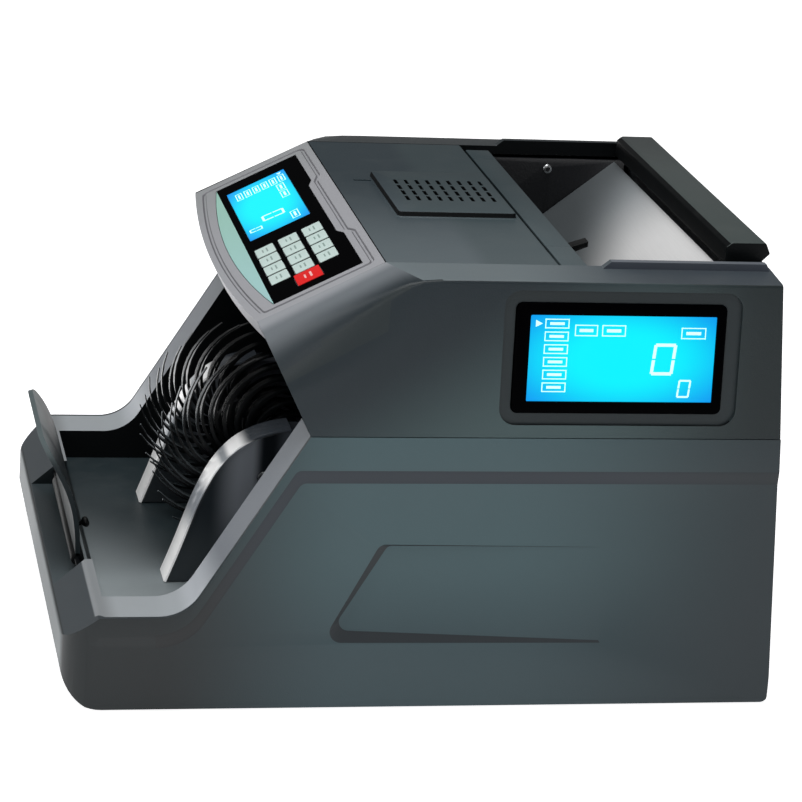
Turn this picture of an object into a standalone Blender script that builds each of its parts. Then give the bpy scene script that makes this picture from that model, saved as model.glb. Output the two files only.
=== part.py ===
"""Banknote counter: a desktop machine with a rear hopper and a front stacking tray.

Metres, +Z up. +Y points to the hopper, -Y to the note tray, +X to the side with the large display.
The origin is under the middle of the machine, on the surface that it stands on.
"""
import math

import bmesh
import bpy
from mathutils import Matrix, Vector

# Whole machine
BODY_LENGTH = 0.352
BODY_WIDTH = 0.290
SEAM_Z = 0.1384
WALL = 0.003
SEAT_GAP = 0.0003
RUNNING_GAP = 0.0006
OVERRUN = 0.020
REAR = BODY_LENGTH / 2
FRONT = -BODY_LENGTH / 2
HALF_WIDTH = BODY_WIDTH / 2
ARC_STEPS = 5
ROUND_SIDES = 24

# Lower housing
HOUSING_BOTTOM = 0.004
STOPPER_OVERHANG = 0.005
FRONT_WALL_Y = FRONT + STOPPER_OVERHANG
TOE_RADIUS = 0.016
FRONT_FACE_TOP = 0.034
RIM_Z = 0.0485
RIM_SETBACK = 0.0165
RIM_WIDTH = 0.027
RIM_FRONT_WIDTH = 0.0035
RIM_BEND_Y = BODY_LENGTH * -0.32557
RIM_BEND_RADIUS = 0.022
SEAM_FRONT_Y = BODY_LENGTH * -0.17273
REAR_DRAFT = 0.010
HEEL_RADIUS = 0.004
PLAN_FRONT_RADIUS = 0.014
PLAN_REAR_RADIUS = 0.005
TRAY_FLOOR_Z = 0.033
TRAY_FLOOR_THICKNESS = 0.003
TRAY_CORNER_RADIUS = 0.006
BAY_FRONT_Y = BODY_LENGTH * -0.07670
TRAY_WALL_Z = 0.050
BAY_SIDE_WALL = 0.006
NOTCH_WIDTH = 0.140
NOTCH_Z = 0.0355
UNDER_HOLLOW_SETBACK = 0.026
UNDER_HOLLOW_FRONT_Y = FRONT + UNDER_HOLLOW_SETBACK

# Belt round the seam, above the sunk side panel
PANEL_DEPTH = 0.002
BELT_OUTER_MARGINS = (0.0164, 0.0040, 0.0085)
BELT_INNER_MARGINS = (0.0234, 0.0100, 0.0160)
PANEL_FRONT_RISE = 0.0052
PANEL_FRONT_RUN = 0.0177
PANEL_TOE_RADIUS = 0.010
PANEL_BEND_RADIUS = 0.026

# Wedge recess in the sunk panel
WEDGE_DEPTH = 0.0025
WEDGE_FRONT_Y = BODY_LENGTH * -0.12926
WEDGE_TOP_FRONT_Y = BODY_LENGTH * -0.06818
WEDGE_REAR_Y = BODY_LENGTH * 0.25
WEDGE_BOTTOM_Z = 0.0385
WEDGE_TOP_Z = 0.0845
WEDGE_RADIUS = 0.006

# Base plate and feet
BASE_THICKNESS = 0.0015
BASE_LIFT = 0.0005
BASE_FRONT_SETBACK = 0.0265
BASE_REAR_SETBACK = 0.0045
BASE_FRONT_Y = FRONT + BASE_FRONT_SETBACK
BASE_REAR_Y = REAR - BASE_REAR_SETBACK
BASE_MARGIN = 0.0008
FOOT_RADIUS = 0.009
FOOT_SIDE_SETBACK = 0.027
FOOT_FRONT_SETBACK = 0.042
FOOT_REAR_SETBACK = 0.021
FOOT_X = HALF_WIDTH - FOOT_SIDE_SETBACK
FOOT_FRONT_Y = FRONT + FOOT_FRONT_SETBACK
FOOT_REAR_Y = REAR - FOOT_REAR_SETBACK
BASE_BOTTOM = HOUSING_BOTTOM + BASE_LIFT
BASE_TOP = BASE_BOTTOM + BASE_THICKNESS

# Upper housing
TOP_Z = 0.2143
SIDE_TOP_Z = 0.2127
SIDE_DRAFT = 0.008
RAIL_WIDTH = 0.0305
SIDE_TOP_X = HALF_WIDTH - SIDE_DRAFT
RAIL_INNER_X = HALF_WIDTH - RAIL_WIDTH
TOP_THICKNESS = 0.0042
FASCIA_LEAN = 0.0232
FASCIA_RUN = 0.0587
FASCIA_FRONT_Y = SEAM_FRONT_Y - FASCIA_LEAN
FASCIA_FRONT_Z = 0.1842
FASCIA_REAR_Y = FASCIA_FRONT_Y + FASCIA_RUN
SHOULDER_RUN = 0.012
REAR_SEAM_Y = REAR - REAR_DRAFT
REAR_TOP_SETBACK = 0.0045
HOPPER_WALL = 0.0115
REAR_TOP_Y = REAR_SEAM_Y - REAR_TOP_SETBACK
SHOULDER_SHARES = ((0.08, 0.54), (0.36, 0.865))
SIDE_MID_SHARE = 0.75
HOPPER_REAR_Y = REAR_TOP_Y - HOPPER_WALL
RAIL_LIP_Y = BODY_LENGTH * 0.22273
RAIL_LIP_SETBACK = 0.0035
RAIL_LIP_REAR_Y = REAR_TOP_Y - RAIL_LIP_SETBACK
RAIL_LIP_HEIGHT = 0.0032
RAIL_LIP_WIDTH = 0.004
RAIL_LIP_RAMP = 0.003
SEAM_GAP = 0.0004

# Control fascia, drawn in its own sloped frame: x across, s up the slope, n out of the face
FASCIA_THICKNESS = 0.004
FASCIA_BOW = 0.0073
FASCIA_BOW_STEPS = 12
FASCIA_CHIN = 0.009
FASCIA_CHIN_THICKNESS = 0.004
POCKET_DEPTH = 0.0015
PANEL_THICKNESS = 0.0012
KEYPAD_MARGIN = 0.013
KEYPAD_HALF_X = RAIL_INNER_X - KEYPAD_MARGIN
KEYPAD_FRONT_S = 0.0103
KEYPAD_REAR_S = 0.0567
KEYPAD_STEP = 0.0026
KEYPAD_STEP_HALF_X = KEYPAD_HALF_X * 0.44828
KEYPAD_STEP_RUN = 0.007
CRESCENT_BOW = 0.0085
LCD_X = (-KEYPAD_HALF_X * 0.86404, 0.0)
LCD_S = (0.0145, 0.0472)
LCD_THICKNESS = 0.0011
LCD_SUNK = 0.0002
KEY_WIDTH = KEYPAD_HALF_X * 0.12808
KEY_DEPTH = 0.0101
KEY_PITCH_X = KEYPAD_HALF_X * 0.14778
KEY_PITCH_S = 0.0127
KEY_FIRST_X = KEYPAD_HALF_X * 0.23744
KEY_FIRST_S = 0.01875
KEY_COLUMNS = 4
KEY_ROWS = 3
KEY_HEIGHT = 0.0015
KEY_PROUD = 0.0008
KEY_EDGE = 0.0004
START_KEY_WIDTH = KEYPAD_HALF_X * 0.15567
START_KEY_DEPTH = 0.0134
START_KEY_X = KEYPAD_HALF_X * 0.83547

# Side display, drawn on the drafted right side: y along, h up the slope from the seam
SIDE_FRAME_Y = (BODY_LENGTH * 0.07813, BODY_LENGTH * 0.40483)
SIDE_FRAME_H = (0.0065, 0.0705)
SIDE_FRAME_DEPTH = 0.0012
SIDE_FRAME_RADIUS = 0.007
SIDE_BEZEL_Y = (BODY_LENGTH * 0.09489, BODY_LENGTH * 0.38409)
SIDE_BEZEL_H = (0.0122, 0.0645)
SIDE_BEZEL_THICKNESS = 0.0042
SIDE_BEZEL_RADIUS = 0.003
SIDE_LCD_Y = (BODY_LENGTH * 0.11420, BODY_LENGTH * 0.37074)
SIDE_LCD_H = (0.0177, 0.0590)
SIDE_LCD_THICKNESS = 0.0026

# Top cover and the strip behind it
COVER_THICKNESS = 0.0036
COVER_REAR_Y = BODY_LENGTH * 0.16136
COVER_SIDE_GAP = 0.0003
COVER_FRONT_GAP = 0.0006
COVER_PIN_RADIUS = 0.0008
COVER_PIN_REACH = 0.0035
COVER_EDGE_STEPS = 6
PAD_X = (-0.044, 0.035)
PAD_FRONT_MARGIN = 0.0208
PAD_REAR_MARGIN = 0.0013
PAD_Y = (FASCIA_REAR_Y + PAD_FRONT_MARGIN, COVER_REAR_Y - PAD_REAR_MARGIN)
PAD_HEIGHT = 0.0025
PAD_CHAMFER = 0.001
SLOT_COLUMNS = 9
SLOT_ROWS = 4
SLOT_SHARES = (0.141667, 0.091667)
SLOT_PITCH_Y = (PAD_Y[1] - PAD_Y[0]) * SLOT_SHARES[1]
SLOT_PITCH_X = 0.0105
SLOT_LENGTH = 0.0052
SLOT_WIDTH = 0.0022
SLOT_FIRST_Y = PAD_Y[0] + (PAD_Y[1] - PAD_Y[0]) * SLOT_SHARES[0]
SLOT_FIRST_X = -0.0250
GRIP_X = (-0.037, -0.034)
GRIP_MARGIN = 0.0113
GRIP_LENGTH = 0.009
GRIP_Y = (FASCIA_REAR_Y + GRIP_MARGIN, FASCIA_REAR_Y + GRIP_MARGIN + GRIP_LENGTH)
GRIP_DEPTH = 0.0012
STRIP_GAP = 0.0005
STRIP_WIDTH = 0.0142
STRIP_REAR_Y = COVER_REAR_Y + STRIP_WIDTH
STRIP_THICKNESS = 0.0030
STRIP_LIP = 0.0040

# Hopper: a plate that falls towards the front, the bar over its top edge
HOPPER_TOP_MARGIN = 0.006
HOPPER_FOOT_GAP = 0.00215
BRACKET_SETBACK = 0.0022
BRACKET_Y = STRIP_REAR_Y - BRACKET_SETBACK
HOPPER_TOP_Y = HOPPER_REAR_Y - HOPPER_TOP_MARGIN
HOPPER_TOP_Z = 0.208
HOPPER_SLOPE = math.radians(39.0)
HOPPER_LENGTH = (HOPPER_TOP_Y - BRACKET_Y - HOPPER_FOOT_GAP) / math.cos(HOPPER_SLOPE)
HOPPER_THICKNESS = 0.0012
BAR_END_MARGIN = 0.0102
BAR_LAP = 0.0077
BAR_OVERHANG = 0.003
BAR_HALF_X = RAIL_INNER_X - BAR_END_MARGIN
BAR_FRONT_Y = HOPPER_REAR_Y - BAR_LAP
BAR_REAR_Y = REAR_TOP_Y + BAR_OVERHANG
BAR_HEIGHT = 0.0097
BAR_TOP_Z = TOP_Z + BAR_HEIGHT
BAR_BOTTOM_Z = TOP_Z + SEAT_GAP
BAR_FRONT_SKIRT = 0.0016
BAR_FRONT_CHAMFER = 0.0035
BAR_REAR_CHAMFER = 0.004
BAR_SKIRT_DEPTH = 0.007
SENSOR_X = 0.048
SENSOR_WIDTH = 0.007
SENSOR_REACH = 0.0165
SENSOR_RISE = 0.0055
SENSOR_Z = (0.1930, 0.2095)
SENSOR_HOOK = 0.003

# Side frame plates
FRAME_X = RAIL_INNER_X - WALL
FRAME_THICKNESS = 0.002
FRAME_FRONT_Y = BODY_LENGTH * -0.01705
FRAME_REAR_Y = HOPPER_REAR_Y
FRAME_TOP_Z = 0.2085
FRAME_WAIST_Z = 0.150
FRAME_WAIST_Y = BODY_LENGTH * 0.11364
SCREW_Y = BODY_LENGTH * 0.30398
SCREW_Z = 0.203
SCREW_RADIUS = 0.0026
SCREW_HEIGHT = 0.0008

# Rollers and shafts that carry the notes
SHAFT_RADIUS = 0.004
SHAFT_PLAY = 0.0001
PICKUP_RADIUS = 0.016
PICKUP_PROUD = 0.0015
FEED_REACH = 0.010
FEED_PATH = HOPPER_LENGTH + FEED_REACH
PICKUP_DISTANCE = 0.042
PICKUP_PATH = FEED_PATH - PICKUP_DISTANCE
FEED_RADIUS = 0.022
ROLLER_WIDTH = 0.012
ROLLER_X = 0.026
SLOT_MARGIN = 0.0015
RETARD_RADIUS = 0.010
RETARD_HALF_X = 0.034
NOTE_GAP = 0.0004
BRACKET_THICKNESS = 0.002
HOPPER_FOOT_Z = HOPPER_TOP_Z - HOPPER_LENGTH * math.sin(HOPPER_SLOPE)
BRACKET_LIFT = 0.005655
BRACKET_END_GAP = 0.0007
BRACKET_BOTTOM_Z = HOPPER_FOOT_Z + BRACKET_LIFT
BRACKET_HALF_X = FRAME_X - BRACKET_END_GAP
CHEEK_X = 0.037
CHEEK_THICKNESS = 0.002
CHEEK_REACH = 0.0188
CHEEK_DROP = 0.002845
CHEEK_HEIGHT = 0.020
CHEEK_FRONT_Y = BRACKET_Y - CHEEK_REACH
CHEEK_BOTTOM_Z = HOPPER_FOOT_Z - CHEEK_DROP
CHEEK_TOP_Z = CHEEK_BOTTOM_Z + CHEEK_HEIGHT
SHELF_REACH = 0.0248
KNOB_REACH = 0.0143
SHELF_Z = HOPPER_FOOT_Z + (TOP_Z - STRIP_THICKNESS - HOPPER_FOOT_Z) * 0.5949
SHELF_HALF_X = 0.016
SHELF_FRONT_Y = BRACKET_Y - SHELF_REACH
KNOB_Y = BRACKET_Y - KNOB_REACH
KNOB_RADIUS = 0.008
KNOB_HEIGHT = 0.009
KNOB_SCREW_RADIUS = 0.0025
KNOB_SCREW_LENGTH = (SHELF_Z - HOPPER_FOOT_Z) * 0.43063
KNOB_GROOVES = 10
KNOB_GROOVE_RADIUS = 0.0011
TRANSPORT_Y = BODY_LENGTH * 0.03551
TRANSPORT_Z = 0.095
TRANSPORT_RADIUS = 0.014
TRANSPORT_HALF_X = 0.046
BELT_X = -0.070
BELT_WIDTH = 0.006
BELT_THICKNESS = 0.0012
STACKER_PULLEY_RADIUS = 0.010

# Stacker: two fan wheels between two curved guides
STACKER_Y = BODY_LENGTH * -0.19176
STACKER_Z = 0.088
STACKER_SHAFT_RADIUS = 0.003
STACKER_SHAFT_X = (-0.076, 0.062)
FAN_X = 0.028
FAN_WIDTH = 0.016
FAN_RADIUS = BODY_LENGTH * 0.14773
FAN_HUB_RADIUS = 0.013
FAN_FINGERS = 16
FAN_SWEEP = math.radians(72.0)
FAN_ROOT_THICKNESS = 0.0030
FAN_TIP_THICKNESS = 0.0012
FAN_STEPS = 7
GUIDE_INNER_X = 0.048
GUIDE_THICKNESS = 0.0145
GUIDE_TIP_Y = BODY_LENGTH * -0.32102
GUIDE_RUN = BODY_LENGTH * 0.16364
GUIDE_TOP_Z = 0.1125
GUIDE_REAR_Y = BODY_LENGTH * -0.08523
GUIDE_CURVE_SHARES = ((0.0, 0.0), (0.10, 0.20), (0.186, 0.39), (0.26, 0.545), (0.377, 0.722),
                      (0.514, 0.848), (0.66, 0.925), (0.83, 0.975), (1.0, 1.0))
STRIP_METAL = 0.0012
STRIP_OVERLAP = 0.001

# Drive
MOTOR_Y = BODY_LENGTH * 0.33381
MOTOR_Z = 0.060
MOTOR_RADIUS = 0.024
MOTOR_LENGTH = 0.0628
MOTOR_X = (-BRACKET_HALF_X, -BRACKET_HALF_X + MOTOR_LENGTH)
MOTOR_FOOT_HALF_Y = 0.018
MOTOR_FOOT_MARGIN = 0.006
MOTOR_SHAFT_RADIUS = 0.003
MOTOR_PULLEY_RADIUS = 0.008
FEED_PULLEY_RADIUS = 0.018
PULLEY_REACH = 0.011
PULLEY_WIDTH = 0.007
PULLEY_X = (-FRAME_X - PULLEY_REACH, -FRAME_X - PULLEY_REACH + PULLEY_WIDTH)
PULLEY_FLANGE = 0.001
PULLEY_RIM = 0.0016

# Front stopper
STOPPER_SETBACK = 0.0195
STOPPER_HINGE_Y = FRONT + STOPPER_SETBACK
STOPPER_HINGE_Z = 0.0425
STOPPER_HALF_X = 0.055
STOPPER_HEIGHT = 0.0595
STOPPER_THICKNESS = 0.0025
STOPPER_CORNER = STOPPER_HALF_X * 0.4
STOPPER_CORNER_STEPS = 6
STOPPER_BARREL_RADIUS = 0.0033
STOPPER_PIN_RADIUS = 0.0016
STOPPER_PIN_SEAT = 0.005
STOPPER_KNOB_RADIUS = 0.0028
STOPPER_KNOB_MARGIN = 0.008
STOPPER_KNOB_X = STOPPER_HALF_X - STOPPER_KNOB_MARGIN
STOPPER_KNOB_RISE = 0.010
STOPPER_KNOB_STEM = 0.0035

# Electrics
SUPPLY_WIDTH = 0.066
SUPPLY_DEPTH = 0.060
SUPPLY_SETBACK = 0.030
SUPPLY_MARGIN_X = 0.0155
BOARD_MARGIN_X = 0.0165
BOARD_END_X = 0.030
BOARD_FRONT_MARGIN = 0.009
BOARD_REAR_MARGIN = 0.008
BOARD_X = (-FRAME_X + BOARD_MARGIN_X, BOARD_END_X)
BOARD_Y = (BAY_FRONT_Y + BOARD_FRONT_MARGIN, REAR - SUPPLY_DEPTH - SUPPLY_SETBACK - BOARD_REAR_MARGIN)
BOARD_Z = 0.016
BOARD_THICKNESS = 0.0016
BOARD_LEG = 0.003
BOARD_INSET = 0.006
CHIP_SIZE = 0.014
CHIP_HEIGHT = 0.003
SUPPLY_X = (FRAME_X - SUPPLY_MARGIN_X - SUPPLY_WIDTH, FRAME_X - SUPPLY_MARGIN_X)
SUPPLY_Y = (REAR - SUPPLY_DEPTH - SUPPLY_SETBACK, REAR - SUPPLY_SETBACK)
SUPPLY_HEIGHT = 0.040
SUPPLY_EDGE = 0.002
INLET_WIDTH = 0.068
INLET_SIDE_MARGIN = 0.037
INLET_X = (HALF_WIDTH - INLET_SIDE_MARGIN - INLET_WIDTH, HALF_WIDTH - INLET_SIDE_MARGIN)
INLET_Z = (0.030, 0.058)
INLET_SETBACK = 0.006
INLET_FACE_Y = REAR - INLET_SETBACK
INLET_FLANGE = 0.003
INLET_FLANGE_THICKNESS = 0.002
INLET_DEPTH = 0.020
SOCKET_MARGIN = 0.004
SOCKET_WIDTH = 0.026
SOCKET_X = (INLET_X[0] + SOCKET_MARGIN, INLET_X[0] + SOCKET_MARGIN + SOCKET_WIDTH)
SOCKET_DEPTH = 0.014
SOCKET_MARGIN_Z = 0.005
PRONG = 0.0022
PRONG_LENGTH = 0.010
PRONG_PITCH = 0.007
ROCKER_MARGIN = 0.006
ROCKER_WIDTH = 0.022
ROCKER_X = (INLET_X[1] - ROCKER_MARGIN - ROCKER_WIDTH, INLET_X[1] - ROCKER_MARGIN)
ROCKER_HALF_Z = 0.0095
ROCKER_PROUD = 0.0018
ROCKER_DEPTH = 0.006
ROCKER_DIP = 0.0012
ROCKER_POCKET = 0.011
ROCKER_CLEARANCE = 0.0008
ROCKER_PIVOT = 0.002

COLOURS = {
    "housing": ((0.062, 0.084, 0.090), 0.42, 0.0),
    "upper": ((0.070, 0.090, 0.098), 0.40, 0.0),
    "fascia": ((0.330, 0.330, 0.350), 0.40, 0.0),
    "panel": ((0.008, 0.008, 0.009), 0.18, 0.0),
    "key": ((0.620, 0.740, 0.680), 0.45, 0.0),
    "red": ((0.860, 0.010, 0.010), 0.45, 0.0),
    "screen": ((0.020, 0.560, 0.960), 0.12, 0.0),
    "cover": ((0.062, 0.080, 0.086), 0.45, 0.0),
    "bar": ((0.022, 0.027, 0.026), 0.38, 0.0),
    "satin": ((0.560, 0.570, 0.580), 0.32, 0.9),
    "steel": ((0.520, 0.530, 0.540), 0.30, 1.0),
    "frame": ((0.030, 0.030, 0.034), 0.50, 0.3),
    "rubber": ((0.020, 0.020, 0.020), 0.80, 0.0),
    "fan": ((0.010, 0.012, 0.014), 0.22, 0.0),
    "guide": ((0.100, 0.105, 0.115), 0.35, 0.0),
    "polished": ((0.750, 0.760, 0.780), 0.12, 1.0),
    "board": ((0.020, 0.180, 0.070), 0.50, 0.0),
    "plastic": ((0.025, 0.025, 0.027), 0.50, 0.0),
    "stopper": ((0.060, 0.090, 0.095), 0.30, 0.0),
}


def clear_scene():
    for item in list(bpy.data.objects):
        bpy.data.objects.remove(item, do_unlink=True)


def material(name):
    colour, roughness, metallic = COLOURS[name]
    made = bpy.data.materials.get(name) or bpy.data.materials.new(name)
    made.use_nodes = True
    shader = made.node_tree.nodes["Principled BSDF"]
    shader.inputs["Base Color"].default_value = (*colour, 1.0)
    shader.inputs["Roughness"].default_value = roughness
    shader.inputs["Metallic"].default_value = metallic
    return made


def mesh_object(name, points, faces):
    mesh = bpy.data.meshes.new(name)
    mesh.from_pydata([tuple(point) for point in points], [], faces)
    work = bmesh.new()
    work.from_mesh(mesh)
    bmesh.ops.recalc_face_normals(work, faces=work.faces)
    work.to_mesh(mesh)
    work.free()
    made = bpy.data.objects.new(name, mesh)
    bpy.context.collection.objects.link(made)
    return made


def loft(name, rings):
    """A closed body through rings of equal count, its first and last rings capped."""
    count = len(rings[0])
    points = [point for ring in rings for point in ring]
    faces = [tuple(reversed(range(count)))]
    for level in range(len(rings) - 1):
        low, high = level * count, (level + 1) * count
        faces += [(low + i, low + (i + 1) % count, high + (i + 1) % count, high + i) for i in range(count)]
    last = (len(rings) - 1) * count
    faces.append(tuple(last + i for i in range(count)))
    return mesh_object(name, points, faces)


def prism_x(name, outline, low, high):
    """An outline of (y, z) points carried from x = low to x = high."""
    return loft(name, [[(x, y, z) for y, z in outline] for x in (low, high)])


def prism_y(name, outline, low, high):
    """An outline of (x, z) points carried from y = low to y = high."""
    return loft(name, [[(x, y, z) for x, z in outline] for y in (low, high)])


def prism_z(name, outline, low, high):
    """An outline of (x, y) points carried from z = low to z = high."""
    return loft(name, [[(x, y, z) for x, y in outline] for z in (low, high)])


def rectangle(first, second):
    """The corners of a rectangle from its two (low, high) spans."""
    return [(first[0], second[0]), (first[1], second[0]), (first[1], second[1]), (first[0], second[1])]


def block(name, x, y, z):
    return prism_z(name, rectangle(x, y), z[0], z[1])


def circle(centre, radius, sides=ROUND_SIDES):
    turn = 2 * math.pi / sides
    return [(centre[0] + radius * math.cos(turn * i),
             centre[1] + radius * math.sin(turn * i)) for i in range(sides)]


def rod_x(name, y, z, radius, low, high, sides=ROUND_SIDES):
    return prism_x(name, circle((y, z), radius, sides), low, high)


def rounded(outline, radii, steps=ARC_STEPS):
    """The outline with each corner rounded by its radius, or by one radius for all."""
    if not isinstance(radii, (list, tuple)):
        radii = [radii] * len(outline)
    smooth = []
    for i, corner in enumerate(outline):
        here = Vector(corner)
        before = (Vector(outline[i - 1]) - here).normalized()
        after = (Vector(outline[(i + 1) % len(outline)]) - here).normalized()
        if radii[i] == 0:
            smooth.append(tuple(here))
            continue
        half = before.angle(after) / 2
        centre = here + (before + after).normalized() * (radii[i] / math.sin(half))
        start = here + before * (radii[i] / math.tan(half)) - centre
        end = here + after * (radii[i] / math.tan(half)) - centre
        swing = start.angle_signed(end)
        for step in range(steps + 1):
            smooth.append(tuple(centre + turned(start, -swing * step / steps)))
    return smooth


def turned(vector, angle):
    c, s = math.cos(angle), math.sin(angle)
    return Vector((c * vector.x - s * vector.y, s * vector.x + c * vector.y))


def combine(target, other, operation="DIFFERENCE"):
    """Apply a Boolean of another object to the target, and remove that object."""
    change = target.modifiers.new("combine", "BOOLEAN")
    change.operation = operation
    change.solver = "EXACT"
    change.object = other
    graph = bpy.context.evaluated_depsgraph_get()
    mesh = bpy.data.meshes.new_from_object(target.evaluated_get(graph))
    target.modifiers.clear()
    old = target.data
    target.data = mesh
    mesh.name = target.name
    bpy.data.meshes.remove(old)
    bpy.data.objects.remove(other, do_unlink=True)
    return target


def cut(target, *cutters):
    for cutter in cutters:
        combine(target, cutter)
    return target


def join(target, *others):
    for other in others:
        combine(target, other, "UNION")
    return target


def bevelled(target, width, segments=1, angle=math.radians(40.0)):
    """Round every edge sharper than the angle."""
    work = bmesh.new()
    work.from_mesh(target.data)
    bmesh.ops.dissolve_limit(work, angle_limit=math.radians(1.0), verts=work.verts, edges=work.edges)
    sharp = [edge for edge in work.edges if len(edge.link_faces) == 2 and edge.calc_face_angle() > angle]
    bmesh.ops.bevel(work, geom=sharp, offset=width, segments=segments, affect="EDGES", profile=0.5,
                    clamp_overlap=True)
    work.to_mesh(target.data)
    work.free()
    return target


def placed(target, matrix):
    target.data.transform(matrix)
    return target


def finished(target, finish, origin=None):
    """Dress a piece, and move its origin to its joint's axis where it has one."""
    target.data.materials.clear()
    target.data.materials.append(material(finish))
    target.data.shade_smooth()
    target.data.set_sharp_from_angle(angle=math.radians(35.0))
    if origin is not None:
        target.data.transform(Matrix.Translation(-Vector(origin)))
        target.location = origin
    return target


# Lower housing

def rim_slope():
    """The angle of the rim where it climbs from the tray to the seam."""
    return math.atan2(SEAM_Z - RIM_Z, SEAM_FRONT_Y - RIM_BEND_Y)


def side_outline():
    rear_top = REAR - REAR_DRAFT * (SEAM_Z - HOUSING_BOTTOM) / SEAM_Z
    corners = [
        (FRONT_WALL_Y, HOUSING_BOTTOM),
        (FRONT_WALL_Y, FRONT_FACE_TOP),
        (FRONT_WALL_Y + RIM_SETBACK, RIM_Z),
        (RIM_BEND_Y, RIM_Z),
        (SEAM_FRONT_Y, SEAM_Z),
        (rear_top, SEAM_Z),
        (REAR, HOUSING_BOTTOM),
    ]
    radii = [TOE_RADIUS, TOE_RADIUS / 4, RIM_FRONT_WIDTH / 4, RIM_BEND_RADIUS, 0, 0, HEEL_RADIUS]
    return rounded(corners, radii)


def plan_outline():
    corners = [(-HALF_WIDTH, FRONT_WALL_Y), (HALF_WIDTH, FRONT_WALL_Y), (HALF_WIDTH, REAR),
               (-HALF_WIDTH, REAR)]
    radii = [PLAN_FRONT_RADIUS, PLAN_FRONT_RADIUS, PLAN_REAR_RADIUS, PLAN_REAR_RADIUS]
    return rounded(corners, radii)


def panel_outline(margins):
    """The sunk side panel's edge, set in from the seam, the slope and the rim; it runs out at the bottom."""
    seam, across, rim = margins
    slope = rim_slope()
    low, high = RIM_Z - rim, SEAM_Z - seam
    bend_y = RIM_BEND_Y - rim / math.tan(slope) + across / math.sin(slope)
    top_y = SEAM_FRONT_Y - seam / math.tan(slope) + across / math.sin(slope)
    corners = [
        (FRONT - OVERRUN, HOUSING_BOTTOM - OVERRUN),
        (FRONT - OVERRUN, low + PANEL_FRONT_RISE * 2),
        (FRONT_WALL_Y, low + PANEL_FRONT_RISE),
        (FRONT_WALL_Y + PANEL_FRONT_RUN, low),
        (bend_y, low),
        (top_y, high),
        (REAR + OVERRUN, high),
        (REAR + OVERRUN, HOUSING_BOTTOM - OVERRUN),
    ]
    return rounded(corners, [0, 0, 0, PANEL_TOE_RADIUS, PANEL_BEND_RADIUS, 0, 0, 0])


def sunk_panel(side):
    """A cutter whose edge slopes from the belt's face to the panel's face."""
    face, outside = HALF_WIDTH - PANEL_DEPTH, HALF_WIDTH + PANEL_DEPTH
    inner, outer = panel_outline(BELT_INNER_MARGINS), panel_outline(BELT_OUTER_MARGINS)
    levels = ((face, inner), (HALF_WIDTH, outer), (outside, outer))
    return loft("panel cutter", [[(side * x, y, z) for y, z in outline] for x, outline in levels])


def wedge_recess(side):
    """A cutter that is deepest at the front and fades out towards the rear."""
    face = HALF_WIDTH - PANEL_DEPTH
    corners = [(WEDGE_FRONT_Y, WEDGE_BOTTOM_Z), (WEDGE_REAR_Y, WEDGE_BOTTOM_Z), (WEDGE_REAR_Y, WEDGE_TOP_Z),
               (WEDGE_TOP_FRONT_Y, WEDGE_TOP_Z)]
    outline = rounded(corners, [WEDGE_RADIUS, 0, 0, WEDGE_RADIUS])
    length = WEDGE_REAR_Y - WEDGE_FRONT_Y
    deep = [(side * (face - WEDGE_DEPTH * (WEDGE_REAR_Y - y) / length), y, z) for y, z in outline]
    clear = [(side * (face + PANEL_DEPTH * 2), y, z) for y, z in outline]
    return loft("wedge cutter", [deep, clear])


def tray_cavity():
    """The note tray, closed behind by a low wall."""
    inner_front = FRONT_WALL_Y + RIM_SETBACK + RIM_FRONT_WIDTH
    corners = [(inner_front, TRAY_FLOOR_Z), (BAY_FRONT_Y, TRAY_FLOOR_Z), (BAY_FRONT_Y, TRAY_WALL_Z),
               (BAY_FRONT_Y + OVERRUN, TRAY_WALL_Z), (BAY_FRONT_Y + OVERRUN, SEAM_Z + OVERRUN),
               (inner_front, SEAM_Z + OVERRUN)]
    half = HALF_WIDTH - RIM_WIDTH
    radii = [TRAY_CORNER_RADIUS, 0, 0, 0, 0, 0]
    return prism_x("tray cutter", rounded(corners, radii), -half, half)


def mechanism_bay():
    half = HALF_WIDTH - BAY_SIDE_WALL
    front = BAY_FRONT_Y + WALL
    corners = [(front, HOUSING_BOTTOM - OVERRUN), (REAR - WALL, HOUSING_BOTTOM - OVERRUN),
               (REAR - WALL, HOUSING_BOTTOM), (REAR_SEAM_Y - WALL, SEAM_Z), (REAR_SEAM_Y - WALL,
                                                                             SEAM_Z + OVERRUN),
               (front, SEAM_Z + OVERRUN)]
    return prism_x("bay cutter", corners, -half, half)


def under_hollow():
    half = HALF_WIDTH - BAY_SIDE_WALL
    top = TRAY_FLOOR_Z - TRAY_FLOOR_THICKNESS
    return block("under cutter", (-half, half), (UNDER_HOLLOW_FRONT_Y, BAY_FRONT_Y + WALL * 2),
                 (HOUSING_BOTTOM - OVERRUN, top))


def rim_hollow(side):
    """The space inside the double wall beside the tray, open at the bottom."""
    slope = rim_slope()
    drop = WALL / math.cos(slope / 2)
    low, high = HALF_WIDTH - RIM_WIDTH + WALL, HALF_WIDTH - BAY_SIDE_WALL
    corners = [(UNDER_HOLLOW_FRONT_Y, HOUSING_BOTTOM - OVERRUN),
               (BAY_FRONT_Y + WALL * 2, HOUSING_BOTTOM - OVERRUN),
               (BAY_FRONT_Y + WALL * 2, SEAM_Z - WALL), (SEAM_FRONT_Y + drop, SEAM_Z - WALL),
               (RIM_BEND_Y + drop, RIM_Z - WALL), (UNDER_HOLLOW_FRONT_Y, RIM_Z - WALL)]
    return prism_x("rim cutter", corners, *sorted((side * low, side * high)))


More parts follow.
